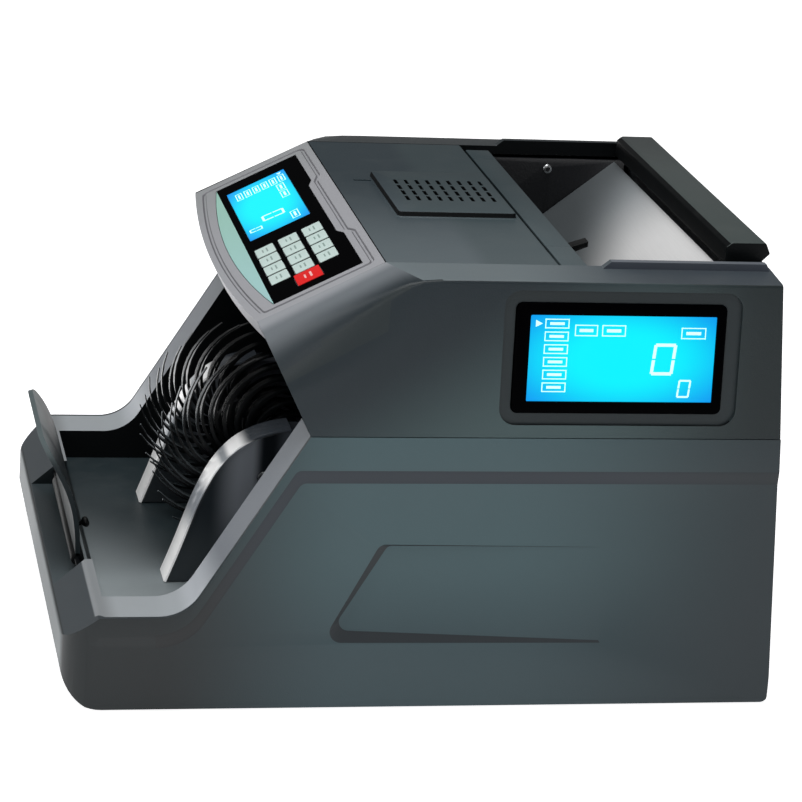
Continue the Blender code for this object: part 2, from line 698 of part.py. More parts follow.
def make_lower_housing():
    body = prism_x("lower_housing", side_outline(), -HALF_WIDTH, HALF_WIDTH)
    combine(body, prism_z("plan", plan_outline(), -OVERRUN, SEAM_Z + OVERRUN), "INTERSECT")
    cut(body, sunk_panel(1), sunk_panel(-1), wedge_recess(1), wedge_recess(-1))
    cut(body, tray_cavity(), mechanism_bay(), under_hollow(), rim_hollow(1), rim_hollow(-1))
    cut(body, block("notch cutter", (-NOTCH_WIDTH / 2, NOTCH_WIDTH / 2),
                    (FRONT - OVERRUN, FRONT_WALL_Y + OVERRUN + TOE_RADIUS), (NOTCH_Z, RIM_Z + OVERRUN)))
    pin_half = NOTCH_WIDTH / 2 + STOPPER_PIN_SEAT
    cut(body, rod_x("pin hole", STOPPER_HINGE_Y, STOPPER_HINGE_Z, STOPPER_PIN_RADIUS + SEAT_GAP,
                    -pin_half - SEAT_GAP, pin_half + SEAT_GAP, ROUND_SIDES // 2))
    flange = block("inlet recess", grown(INLET_X, INLET_FLANGE + SEAT_GAP),
                   (INLET_FACE_Y - INLET_FLANGE_THICKNESS,
                   REAR + OVERRUN), grown(INLET_Z, INLET_FLANGE + SEAT_GAP))
    hole = block("inlet hole", grown(INLET_X, SEAT_GAP), (INLET_FACE_Y - OVERRUN, REAR),
                 grown(INLET_Z, SEAT_GAP))
    cut(body, flange, hole)
    return finished(body, "housing")


def grown(span, by):
    return span[0] - by, span[1] + by


def make_base_plate():
    half = HALF_WIDTH - BAY_SIDE_WALL - BASE_MARGIN
    outline = rectangle((-half, half), (BASE_FRONT_Y, BASE_REAR_Y))
    return finished(prism_z("base_plate", rounded(outline, BAY_SIDE_WALL, 2), BASE_BOTTOM, BASE_TOP),
                    "steel")


def make_feet():
    spots = [("front_left", -FOOT_X, FOOT_FRONT_Y), ("front_right", FOOT_X, FOOT_FRONT_Y),
             ("rear_left", -FOOT_X, FOOT_REAR_Y), ("rear_right", FOOT_X, FOOT_REAR_Y)]
    for label, x, y in spots:
        foot = prism_z("foot_" + label, circle((x, y), FOOT_RADIUS, ROUND_SIDES), 0, BASE_BOTTOM - SEAT_GAP)
        finished(foot, "rubber")


# Upper housing

def fascia_slope():
    return math.atan2(TOP_Z - FASCIA_FRONT_Z, FASCIA_REAR_Y - FASCIA_FRONT_Y)


def section(seam, side_top, top):
    """Right half of one ring, from the seam up to the rail's inner edge."""
    mid = tuple(a + (b - a) * SIDE_MID_SHARE for a, b in zip(seam, side_top))
    return [seam, mid, side_top, top]


def upper_rings(inset, reach):
    """The upper housing's rings, drawn inwards by inset, its open front and bottom carried on by reach."""
    slope = fascia_slope()
    top_inset = inset * TOP_THICKNESS / WALL
    seam_z = SEAM_Z + SEAM_GAP - reach
    front = []
    for x_share, rise_share in ((0.0, 0.0), *SHOULDER_SHARES, (1.0, 1.0)):
        x = HALF_WIDTH + (RAIL_INNER_X - HALF_WIDTH) * x_share
        y = SEAM_FRONT_Y + (FASCIA_FRONT_Y - SEAM_FRONT_Y) * rise_share
        z = SEAM_Z + SEAM_GAP + (FASCIA_FRONT_Z - SEAM_Z) * rise_share
        drop = top_inset / math.cos(slope) * rise_share + reach * math.tan(slope) * rise_share
        front.append((x - inset, y - reach, max(z - drop, seam_z) if rise_share else seam_z))
    rear_mid_y = REAR_SEAM_Y + (REAR_TOP_Y - REAR_SEAM_Y) * SIDE_MID_SHARE
    middle = section((HALF_WIDTH - inset, FASCIA_REAR_Y, seam_z),
                     (SIDE_TOP_X - inset, FASCIA_REAR_Y + SHOULDER_RUN, SIDE_TOP_Z - top_inset),
                     (RAIL_INNER_X - inset, FASCIA_REAR_Y, TOP_Z - top_inset))
    rear = section((HALF_WIDTH - inset, REAR_SEAM_Y - inset, seam_z),
                   (SIDE_TOP_X - inset, REAR_TOP_Y - inset, SIDE_TOP_Z - top_inset),
                   (RAIL_INNER_X - inset, REAR_TOP_Y - inset, TOP_Z - top_inset))
    rear[1] = (rear[1][0], rear_mid_y - inset, rear[1][2])
    rings = []
    for half in (front, middle, rear):
        rings.append(half + [(-x, y, z) for x, y, z in reversed(half)])
    return rings


def side_matrix():
    """From (y, h, n) on the right side to the world: h climbs the drafted wall, n points out."""
    tilt = math.atan2(HALF_WIDTH - SIDE_TOP_X, SIDE_TOP_Z - SEAM_Z)
    up = Vector((-math.sin(tilt), 0, math.cos(tilt)))
    out = Vector((math.cos(tilt), 0, math.sin(tilt)))
    return Matrix(((0, up.x, out.x, HALF_WIDTH), (1, up.y, out.y, 0), (0, up.z, out.z, SEAM_Z),
                   (0, 0, 0, 1)))


def side_plate(name, y, h, low, high, radius):
    outline = rounded(rectangle(y, h), radius) if radius else rectangle(y, h)
    return placed(prism_z(name, outline, low, high), side_matrix())


def make_upper_housing():
    body = loft("upper_housing", upper_rings(0, 0))
    cut(body, loft("inside", upper_rings(WALL, OVERRUN)))
    opening = [(FASCIA_FRONT_Y - OVERRUN, SEAM_Z), (HOPPER_REAR_Y, SEAM_Z), (HOPPER_REAR_Y, TOP_Z + OVERRUN),
               (FASCIA_FRONT_Y - OVERRUN, TOP_Z + OVERRUN)]
    cut(body, prism_x("opening", opening, -RAIL_INNER_X, RAIL_INNER_X))
    for side in (1, -1):
        low, high = RAIL_INNER_X, RAIL_INNER_X + RAIL_LIP_WIDTH
        base = TOP_Z - TOP_THICKNESS / 2
        top = TOP_Z + RAIL_LIP_HEIGHT
        lip = [(RAIL_LIP_Y, base), (RAIL_LIP_REAR_Y, base), (RAIL_LIP_REAR_Y, TOP_Z),
               (RAIL_LIP_REAR_Y - RAIL_LIP_RAMP, top), (RAIL_LIP_Y + RAIL_LIP_RAMP, top),
               (RAIL_LIP_Y, TOP_Z)]
        join(body, prism_x("lip", lip, *sorted((side * low, side * high))))
        pin_z = TOP_Z - COVER_THICKNESS / 2
        hole = rod_x("hinge hole", COVER_REAR_Y, pin_z, COVER_PIN_RADIUS + SEAT_GAP,
                     *sorted((side * (low - WALL), side * (low + COVER_PIN_REACH))), ROUND_SIDES // 3)
        cut(body, hole)
    cut(body, side_plate("frame cutter", SIDE_FRAME_Y, SIDE_FRAME_H, -SIDE_FRAME_DEPTH, OVERRUN,
                         SIDE_FRAME_RADIUS))
    cut(body,
        side_plate("bezel cutter", grown(SIDE_BEZEL_Y, SEAT_GAP), grown(SIDE_BEZEL_H, SEAT_GAP), -OVERRUN,
                         OVERRUN, SIDE_BEZEL_RADIUS))
    return finished(body, "upper")


def make_side_display():
    bezel = side_plate("side_bezel", SIDE_BEZEL_Y, SIDE_BEZEL_H, -SIDE_BEZEL_THICKNESS,
                       -SIDE_FRAME_DEPTH / 2,
                       SIDE_BEZEL_RADIUS)
    window = side_plate("window", grown(SIDE_LCD_Y, SEAT_GAP), grown(SIDE_LCD_H, SEAT_GAP), -OVERRUN,
                        OVERRUN, 0)
    finished(cut(bezel, window), "panel")
    face = -SIDE_FRAME_DEPTH / 2 - SEAT_GAP
    screen = side_plate("side_display", SIDE_LCD_Y, SIDE_LCD_H, face - SIDE_LCD_THICKNESS, face, 0)
    finished(screen, "screen")


# Control fascia

def fascia_matrix():
    """From (x, s, n) on the fascia to the world."""
    slope = fascia_slope()
    turn = Matrix.Rotation(slope, 4, "X")
    return Matrix.Translation((0, FASCIA_FRONT_Y, FASCIA_FRONT_Z)) @ turn


def fascia_length():
    return math.hypot(TOP_Z - FASCIA_FRONT_Z, FASCIA_REAR_Y - FASCIA_FRONT_Y)


def bow(half_x, s, depth, steps=FASCIA_BOW_STEPS):
    """Points of a shallow parabola from -half_x to half_x that bulges forward by depth."""
    points = []
    for i in range(steps + 1):
        share = 2 * i / steps - 1
        points.append((half_x * share, s - depth * (1 - share * share)))
    return points


def fascia_outline():
    half = RAIL_INNER_X - SEAT_GAP
    rear = fascia_length() - COVER_FRONT_GAP / 2
    return bow(half, 0, FASCIA_BOW) + [(half, rear), (-half, rear)]


def keypad_outline(gap=0.0):
    """The printed panel's edge: bowed in front, with one long shallow step in its rear edge."""
    half, rear, step = KEYPAD_HALF_X - gap, KEYPAD_REAR_S - gap, KEYPAD_STEP
    inner = KEYPAD_STEP_HALF_X - KEYPAD_STEP_RUN / 2
    outer = KEYPAD_STEP_HALF_X + KEYPAD_STEP_RUN / 2
    rear_edge = [(half, rear), (outer, rear), (inner, rear - step)]
    rear_edge += [(-x, s) for x, s in reversed(rear_edge)]
    return bow(half, KEYPAD_FRONT_S + gap, CRESCENT_BOW) + rear_edge


def fascia_chin():
    """The lip under the bowed front edge, leaning back as the housing's front edge does."""
    half = RAIL_INNER_X - SEAT_GAP
    front = bow(half, 0, FASCIA_BOW)
    back = [(x, s + FASCIA_CHIN_THICKNESS) for x, s in reversed(front)]
    return prism_z("chin", front + back, -FASCIA_CHIN, -FASCIA_THICKNESS / 2)


def make_fascia():
    body = prism_z("fascia", fascia_outline(), -FASCIA_THICKNESS, 0)
    join(body, fascia_chin())
    cut(body, prism_z("pocket", keypad_outline(), -POCKET_DEPTH, OVERRUN))
    return finished(placed(body, fascia_matrix()), "fascia")


def key_spots():
    """Name, centre and size of each key on the fascia, the wide one last."""
    spots = []
    for row in range(KEY_ROWS):
        for column in range(KEY_COLUMNS):
            label = "key_%02d" % (row * KEY_COLUMNS + column + 1)
            spots.append((label, KEY_FIRST_X + KEY_PITCH_X * column, KEY_FIRST_S + KEY_PITCH_S * row,
                          KEY_WIDTH, KEY_DEPTH))
    spots.append(("start_key", START_KEY_X, KEY_FIRST_S + KEY_PITCH_S, START_KEY_WIDTH, START_KEY_DEPTH))
    return spots


def make_keypad():
    panel = prism_z("keypad_panel", keypad_outline(SEAT_GAP), -PANEL_THICKNESS, 0)
    for label, x, s, width, depth in key_spots():
        margin = SEAT_GAP
        hole = rectangle(grown((x - width / 2, x + width / 2), margin),
                         grown((s - depth / 2, s + depth / 2), margin))
        cut(panel, prism_z("key hole", hole, -OVERRUN, OVERRUN))
        key = prism_z(label, rectangle((x - width / 2, x + width / 2), (s - depth / 2, s + depth / 2)),
                      KEY_PROUD - KEY_HEIGHT, KEY_PROUD)
        bevelled(key, KEY_EDGE)
        centre = fascia_matrix() @ Vector((x, s, 0))
        finished(placed(key, fascia_matrix()), "red" if label == "start_key" else "key", centre)
    cut(panel,
        prism_z("window", rectangle(grown(LCD_X, SEAT_GAP), grown(LCD_S, SEAT_GAP)), -OVERRUN, OVERRUN))
    finished(placed(panel, fascia_matrix()), "panel")
    screen = prism_z("front_display", rectangle(LCD_X, LCD_S), -LCD_SUNK - LCD_THICKNESS, -LCD_SUNK)
    finished(placed(screen, fascia_matrix()), "screen")


# Top cover

def make_top_cover():
    low = TOP_Z - COVER_THICKNESS
    half = RAIL_INNER_X - COVER_SIDE_GAP
    front = FASCIA_REAR_Y + COVER_FRONT_GAP / 2
    radius = COVER_THICKNESS / 2
    mid = (COVER_REAR_Y, low + radius)
    undercut = front + COVER_THICKNESS * math.tan(fascia_slope())
    edge = [(mid[0] + radius * math.sin(a), mid[1] - radius * math.cos(a))
            for a in (math.pi * i / COVER_EDGE_STEPS for i in range(COVER_EDGE_STEPS + 1))]
    body = prism_x("top_cover", [(undercut, low), *edge, (front, TOP_Z)], -half, half)
    pad_base = prism_rings(PAD_X, PAD_Y, TOP_Z - radius, TOP_Z + PAD_HEIGHT)
    join(body, pad_base)
    for row in range(SLOT_ROWS):
        for column in range(SLOT_COLUMNS):
            x = SLOT_FIRST_X + SLOT_PITCH_X * row
            y = SLOT_FIRST_Y + SLOT_PITCH_Y * column
            slot = rectangle((x, x + SLOT_LENGTH), (y, y + SLOT_WIDTH))
            cut(body, prism_z("slot", slot, low - radius, TOP_Z + OVERRUN))
    cut(body, block("grip", GRIP_X, GRIP_Y, (TOP_Z - GRIP_DEPTH, TOP_Z + OVERRUN)))
    for side in (1, -1):
        reach = half + COVER_PIN_REACH - RUNNING_GAP
        pin = rod_x("pin", *mid, COVER_PIN_RADIUS, *sorted((side * (half - WALL), side * reach)),
                    ROUND_SIDES // 3)
        join(body, pin)
    return finished(body, "cover", (0, *mid))


def prism_rings(x, y, base, top):
    """A raised pad with a chamfered top edge."""
    rings = [(x, y, base), (x, y, top - PAD_CHAMFER), (grown(x, -PAD_CHAMFER), grown(y, -PAD_CHAMFER), top)]
    return loft("pad", [[(a, b, z) for a, b in rectangle(xs, ys)] for xs, ys, z in rings])


def make_cover_strip():
    """The fixed strip between the cover and the hopper, with a lip down over the retard bracket."""
    front = COVER_REAR_Y + COVER_THICKNESS / 2 + STRIP_GAP
    low = TOP_Z - STRIP_THICKNESS
    bracket_rear = BRACKET_Y + BRACKET_THICKNESS
    outline = [(front, low), (bracket_rear - BRACKET_THICKNESS, low), (bracket_rear + SEAT_GAP, low),
               (bracket_rear + SEAT_GAP, low - STRIP_LIP), (STRIP_REAR_Y + SEAT_GAP * 2, low - STRIP_LIP),
               (STRIP_REAR_Y + SEAT_GAP * 2, TOP_Z), (front, TOP_Z)]
    half = RAIL_INNER_X - COVER_SIDE_GAP
    body = prism_x("hopper_strip", outline, -half, half)
    trim = FRAME_X - SEAT_GAP
    for side in (1, -1):
        lower = block("trim", sorted((side * trim, side * (half + WALL))),
                      (front - WALL, STRIP_REAR_Y + WALL),
                      (low - STRIP_LIP - WALL, low))
        cut(body, lower)
    return finished(body, "cover")


# Hopper

def hopper_point(along, out=0.0):
    """A (y, z) point on the hopper plate's upper face, a distance down from its top edge."""
    c, s = math.cos(HOPPER_SLOPE), math.sin(HOPPER_SLOPE)
    return HOPPER_TOP_Y - along * c - out * s, HOPPER_TOP_Z - along * s + out * c


def make_hopper_plate():
    lower = [hopper_point(0, -HOPPER_THICKNESS), hopper_point(HOPPER_LENGTH, -HOPPER_THICKNESS)]
    upper = [hopper_point(HOPPER_LENGTH), hopper_point(0)]
    half = FRAME_X - SEAT_GAP
    body = prism_x("hopper_plate", lower + upper, -half, half)
    y, z = pickup_centre()
    reach = PICKUP_RADIUS + SLOT_MARGIN
    for side in (1, -1):
        x = side * ROLLER_X
        cut(body, rod_x("roller slot", y, z, reach, x - ROLLER_WIDTH / 2 - SLOT_MARGIN,
                        x + ROLLER_WIDTH / 2 + SLOT_MARGIN))
    return finished(body, "satin")


def make_rear_bar():
    skirt_rear = BAR_FRONT_Y + BAR_SKIRT_DEPTH
    outline = [(BAR_FRONT_Y, BAR_BOTTOM_Z - BAR_FRONT_SKIRT), (skirt_rear, BAR_BOTTOM_Z - BAR_FRONT_SKIRT),
               (skirt_rear, BAR_BOTTOM_Z), (BAR_REAR_Y - BAR_REAR_CHAMFER, BAR_BOTTOM_Z),
               (BAR_REAR_Y, BAR_BOTTOM_Z + BAR_REAR_CHAMFER),
               (BAR_REAR_Y - BAR_REAR_CHAMFER / 2, BAR_TOP_Z), (BAR_FRONT_Y + BAR_FRONT_CHAMFER, BAR_TOP_Z),
               (BAR_FRONT_Y, BAR_TOP_Z - BAR_FRONT_CHAMFER / 2)]
    return finished(prism_x("rear_bar", outline, -BAR_HALF_X, BAR_HALF_X), "bar")


def make_hopper_sensor():
    """A small hooked arm that feels the notes, on the rear of the hopper's front wall."""
    seat = BRACKET_Y + BRACKET_THICKNESS + SEAT_GAP
    low, high = SENSOR_Z
    tip, elbow = seat + SENSOR_REACH, high - SENSOR_RISE
    outline = [(seat, low), (seat + SENSOR_HOOK, low), (seat + SENSOR_HOOK, elbow - SENSOR_HOOK),
               (tip, high - SENSOR_HOOK), (tip, high), (seat, elbow)]
    return finished(prism_x("hopper_sensor", outline, SENSOR_X, SENSOR_X + SENSOR_WIDTH), "plastic")


# Frames, rollers and shafts

def pickup_centre():
    return hopper_point(PICKUP_PATH, PICKUP_PROUD - PICKUP_RADIUS)


def feed_centre():
    return hopper_point(FEED_PATH, -FEED_RADIUS)


def retard_centre():
    return hopper_point(FEED_PATH, NOTE_GAP + RETARD_RADIUS)


def make_frames():
    rear = FRAME_REAR_Y
    outline = [(FRAME_FRONT_Y, BASE_TOP + SEAT_GAP), (rear, BASE_TOP + SEAT_GAP), (rear, FRAME_TOP_Z),
               (FRAME_WAIST_Y, FRAME_TOP_Z), (FRAME_WAIST_Y, FRAME_WAIST_Z), (FRAME_FRONT_Y,
                                                                              TRANSPORT_Z + OVERRUN)]
    for label, side in (("frame_left", -1), ("frame_right", 1)):
        near, far = sorted((side * FRAME_X, side * (FRAME_X + FRAME_THICKNESS)))
        plate = prism_x(label, outline, near, far)
        for y, z in (pickup_centre(), feed_centre(), (TRANSPORT_Y, TRANSPORT_Z)):
            cut(plate, rod_x("bearing hole", y, z, SHAFT_RADIUS + SHAFT_PLAY, near - WALL, far + WALL))
        if side < 0:
            cut(plate, rod_x("motor hole", MOTOR_Y, MOTOR_Z, MOTOR_SHAFT_RADIUS + SEAT_GAP, near - WALL,
                             far + WALL))
        head = sorted((side * (FRAME_X - SCREW_HEIGHT), side * (FRAME_X + SCREW_HEIGHT)))
        join(plate, rod_x("screw head", SCREW_Y, SCREW_Z, SCREW_RADIUS, *head, ROUND_SIDES // 2))
        finished(plate, "frame")


def make_roller_set(kind, centre, radius, shaft_span):
    """A steel shaft with two rubber rollers, all turning on the shaft's axis."""
    y, z = centre
    origin = (0, y, z)
    finished(rod_x(kind + "_shaft", y, z, SHAFT_RADIUS, *shaft_span), "steel", origin)
    for label, side in (("left", -1), ("right", 1)):
        x = side * ROLLER_X
        tyre = rod_x("%s_roller_%s" % (kind, label), y, z, radius, x - ROLLER_WIDTH / 2,
                     x + ROLLER_WIDTH / 2)
        cut(tyre, rod_x("bore", y, z, SHAFT_RADIUS + SEAT_GAP, x - ROLLER_WIDTH, x + ROLLER_WIDTH))
        finished(tyre, "rubber", origin)


def make_transport_roller():
    reach = FRAME_X + FRAME_THICKNESS + WALL
    body = rod_x("transport_roller", TRANSPORT_Y, TRANSPORT_Z, SHAFT_RADIUS, -reach, reach)
    join(body,
         rod_x("sleeve", TRANSPORT_Y, TRANSPORT_Z, TRANSPORT_RADIUS, -TRANSPORT_HALF_X, TRANSPORT_HALF_X))
    join(body, pulley("pulley", TRANSPORT_Y, TRANSPORT_Z, STACKER_PULLEY_RADIUS,
                      grown((BELT_X, BELT_X), BELT_WIDTH)))
    return finished(body, "rubber", (0, TRANSPORT_Y, TRANSPORT_Z))


def pulley(name, y, z, radius, span):
    """A grooved wheel with a flange at each side."""
    low, high = span
    rim = radius + PULLEY_RIM
    rings = []
    for x, r in ((low, rim), (low + PULLEY_FLANGE, rim), (low + PULLEY_FLANGE * 2, radius),
                 (high - PULLEY_FLANGE * 2, radius), (high - PULLEY_FLANGE, rim), (high, rim)):
        rings.append([(x, a, b) for a, b in circle((y, z), r)])
    return loft(name, rings)


def make_retard_parts():
    """The hopper's front wall with two cheeks that hold the retard roller, and a shelf for the gap knob."""
    y, z = retard_centre()
    front, rear = BRACKET_Y, BRACKET_Y + BRACKET_THICKNESS
    body = block("retard_bracket", (-BRACKET_HALF_X, BRACKET_HALF_X), (front, rear),
                 (BRACKET_BOTTOM_Z, TOP_Z - STRIP_THICKNESS - SEAT_GAP))
    for side in (1, -1):
        span = sorted((side * CHEEK_X, side * (CHEEK_X + CHEEK_THICKNESS)))
        cheek = block("cheek", span, (CHEEK_FRONT_Y, front + BRACKET_THICKNESS / 2),
                      (CHEEK_BOTTOM_Z, CHEEK_TOP_Z))
        clear = rod_x("feed clearance", *feed_centre(), FEED_RADIUS + WALL, *grown(span, WALL))
        join(body, cut(cheek, clear))
    shelf = block("shelf", (-SHELF_HALF_X, SHELF_HALF_X), (SHELF_FRONT_Y, front + BRACKET_THICKNESS / 2),
                  (SHELF_Z - BRACKET_THICKNESS, SHELF_Z))
    join(body, shelf)
    hole = circle((0, KNOB_Y), KNOB_SCREW_RADIUS + SHAFT_PLAY)
    cut(body, prism_z("screw hole", hole, SHELF_Z - WALL, SHELF_Z + WALL))
    reach = CHEEK_X + CHEEK_THICKNESS
    cut(body, rod_x("axle hole", y, z, SHAFT_RADIUS / 2 + SEAT_GAP, -reach - WALL, reach + WALL,
                    ROUND_SIDES // 2))
    finished(body, "plastic")
    roller = rod_x("retard_roller", y, z, RETARD_RADIUS, -RETARD_HALF_X, RETARD_HALF_X)
    join(roller, rod_x("axle", y, z, SHAFT_RADIUS / 2, -reach, reach, ROUND_SIDES // 2))
    finished(roller, "rubber")


def make_gap_knob():
    low = SHELF_Z + SEAT_GAP
    outline = circle((0, KNOB_Y), KNOB_RADIUS)
    body = prism_z("gap_knob", outline, low, low + KNOB_HEIGHT)
    for i in range(KNOB_GROOVES):
        angle = 2 * math.pi * i / KNOB_GROOVES
        spot = (KNOB_RADIUS * math.cos(angle), KNOB_Y + KNOB_RADIUS * math.sin(angle))
        cut(body, prism_z("groove", circle(spot, KNOB_GROOVE_RADIUS, ROUND_SIDES // 4), low - WALL,
                          low + KNOB_HEIGHT + WALL))
    stem = prism_z("stem", circle((0, KNOB_Y), KNOB_SCREW_RADIUS), low - KNOB_SCREW_LENGTH,
                   low + KNOB_HEIGHT / 2)
    return finished(join(body, stem), "plastic", (0, KNOB_Y, low))


# Stacker

def fan_finger(index):
    """One curved finger: its middle line sweeps back as it leaves the hub, and it thins to its tip."""
    start = 2 * math.pi * index / FAN_FINGERS
    front, back = [], []
    for step in range(FAN_STEPS + 1):
        share = step / FAN_STEPS
        radius = FAN_HUB_RADIUS / 2 + (FAN_RADIUS - FAN_TIP_THICKNESS - FAN_HUB_RADIUS / 2) * share
        angle = start - FAN_SWEEP * share ** 1.5
        half = (FAN_ROOT_THICKNESS + (FAN_TIP_THICKNESS - FAN_ROOT_THICKNESS) * share) / 2
        along = Vector((math.cos(angle), math.sin(angle)))
        bend = math.atan(1.5 * FAN_SWEEP * share ** 0.5 * share)
        across = turned(along, math.pi / 2 - bend)
        middle = along * radius
        front.append(tuple(middle + across * half))
        back.append(tuple(middle - across * half))
    return [(STACKER_Y + y, STACKER_Z + z) for y, z in front + back[::-1]]


def make_fan_wheel(label, x):
    low, high = x - FAN_WIDTH / 2, x + FAN_WIDTH / 2
    body = rod_x("fan_wheel_" + label, STACKER_Y, STACKER_Z, FAN_HUB_RADIUS, low, high)
    for index in range(FAN_FINGERS):
        inset = WALL / 2
        join(body, prism_x("finger", fan_finger(index), low + inset, high - inset))
    cut(body, rod_x("bore", STACKER_Y, STACKER_Z, STACKER_SHAFT_RADIUS + SEAT_GAP, low - WALL, high + WALL))
    return finished(body, "fan", (0, STACKER_Y, STACKER_Z))


def make_stacker():
    shaft = rod_x("stacker_shaft", STACKER_Y, STACKER_Z, STACKER_SHAFT_RADIUS, *STACKER_SHAFT_X)
    join(shaft,
         pulley("pulley", STACKER_Y, STACKER_Z, STACKER_PULLEY_RADIUS, grown((BELT_X, BELT_X), BELT_WIDTH)))
    finished(shaft, "steel", (0, STACKER_Y, STACKER_Z))
    make_fan_wheel("left", -FAN_X)
    make_fan_wheel("right", FAN_X)


def guide_curve(out=0.0):
    """The guide's front edge from the tray floor to its top, moved out along its own normal."""
    low = TRAY_FLOOR_Z + SEAT_GAP
    points = [Vector((GUIDE_TIP_Y + GUIDE_RUN * a, low + (GUIDE_TOP_Z - low) * b)) for a,
              b in GUIDE_CURVE_SHARES]
    moved = []
    for i, point in enumerate(points):
        ahead = points[min(i + 1, len(points) - 1)] - points[max(i - 1, 0)]
        normal = Vector((-ahead.y, ahead.x)).normalized()
        moved.append(tuple(point + normal * out))
    return moved


def make_guides():
    low = TRAY_FLOOR_Z + SEAT_GAP
    outline = guide_curve() + [(GUIDE_REAR_Y, GUIDE_TOP_Z), (GUIDE_REAR_Y, low)]
    for label, side in (("left", -1), ("right", 1)):
        span = sorted((side * GUIDE_INNER_X, side * (GUIDE_INNER_X + GUIDE_THICKNESS)))
        body = prism_x("guide_" + label, outline, *span)
        cut(body, rod_x("bearing hole", STACKER_Y, STACKER_Z, STACKER_SHAFT_RADIUS + SHAFT_PLAY,
                        *grown(span, WALL)))
        finished(body, "guide")
        inner, outer = guide_curve(SEAT_GAP), guide_curve(SEAT_GAP + STRIP_METAL)
        lift = [(y, max(z, low)) for y, z in inner + outer[::-1]]
        strip = prism_x("guide_strip_" + label, lift, *grown(span, STRIP_OVERLAP))
        finished(strip, "polished")


# Drive

def belt_outline(first, first_radius, second, second_radius):
    """The outside of a belt round two wheels: two arcs joined by their common tangents."""
    a, b = Vector(first), Vector(second)
    span = b - a
    lean = math.acos((first_radius - second_radius) / span.length)
    aim = math.atan2(span.y, span.x)
    half = ROUND_SIDES // 2
    points = []
    for centre, radius, start, end in ((a, first_radius, aim + lean, aim + 2 * math.pi - lean),
                                       (b, second_radius, aim - lean, aim + lean)):
        for step in range(half + 1):
            angle = start + (end - start) * step / half
            points.append((centre.x + radius * math.cos(angle), centre.y + radius * math.sin(angle)))
    return points


def make_belt(name, first, first_radius, second, second_radius, span):
    inner = SEAT_GAP / math.cos(math.pi / ROUND_SIDES)
    outer = inner + BELT_THICKNESS
    body = prism_x(name, belt_outline(first, first_radius + outer, second, second_radius + outer), *span)
    hole = belt_outline(first, first_radius + inner, second, second_radius + inner)
    return finished(cut(body, prism_x("inside", hole, *grown(span, WALL))), "rubber")


def make_motor():
    body = rod_x("main_motor", MOTOR_Y, MOTOR_Z, MOTOR_RADIUS, *MOTOR_X)
    foot_span = grown(MOTOR_X, -MOTOR_FOOT_MARGIN)
    foot = block("foot", foot_span, (MOTOR_Y - MOTOR_FOOT_HALF_Y, MOTOR_Y + MOTOR_FOOT_HALF_Y),
                 (BASE_TOP + SEAT_GAP, MOTOR_Z - MOTOR_RADIUS / 2))
    join(body, foot)
    bore = rod_x("bore", MOTOR_Y, MOTOR_Z, MOTOR_SHAFT_RADIUS + SHAFT_PLAY, MOTOR_X[0] - WALL,
                 MOTOR_X[0] + OVERRUN)
    finished(cut(body, bore), "steel")
    wheel = pulley("motor_pulley", MOTOR_Y, MOTOR_Z, MOTOR_PULLEY_RADIUS, PULLEY_X)
    shaft = rod_x("shaft", MOTOR_Y, MOTOR_Z, MOTOR_SHAFT_RADIUS, PULLEY_X[0] + PULLEY_FLANGE,
                  MOTOR_X[0] + OVERRUN - RUNNING_GAP)
    finished(join(wheel, shaft), "steel", (0, MOTOR_Y, MOTOR_Z))
    y, z = feed_centre()
    driven = pulley("feed_pulley", y, z, FEED_PULLEY_RADIUS, PULLEY_X)
    cut(driven, rod_x("bore", y, z, SHAFT_RADIUS + SEAT_GAP, PULLEY_X[0] - WALL, PULLEY_X[1] + WALL))
    finished(driven, "plastic", (0, y, z))
    make_belt("drive_belt", (MOTOR_Y, MOTOR_Z), MOTOR_PULLEY_RADIUS, (y, z), FEED_PULLEY_RADIUS,
              (PULLEY_X[0] + PULLEY_FLANGE * 2 + SEAT_GAP, PULLEY_X[1] - PULLEY_FLANGE * 2 - SEAT_GAP))
    stacker_span = grown((BELT_X, BELT_X), BELT_WIDTH - PULLEY_FLANGE * 2 - SEAT_GAP)
    make_belt("stacker_belt", (STACKER_Y, STACKER_Z), STACKER_PULLEY_RADIUS, (TRANSPORT_Y, TRANSPORT_Z),
              STACKER_PULLEY_RADIUS, stacker_span)


# Front stopper

def stopper_lean():
    """The lean from upright that brings the stopper's outer top edge to the machine's front end."""
    reach = STOPPER_HINGE_Y - FRONT
    half = STOPPER_THICKNESS / 2
    return math.asin(reach / math.hypot(STOPPER_HEIGHT, half)) - math.atan2(half, STOPPER_HEIGHT)


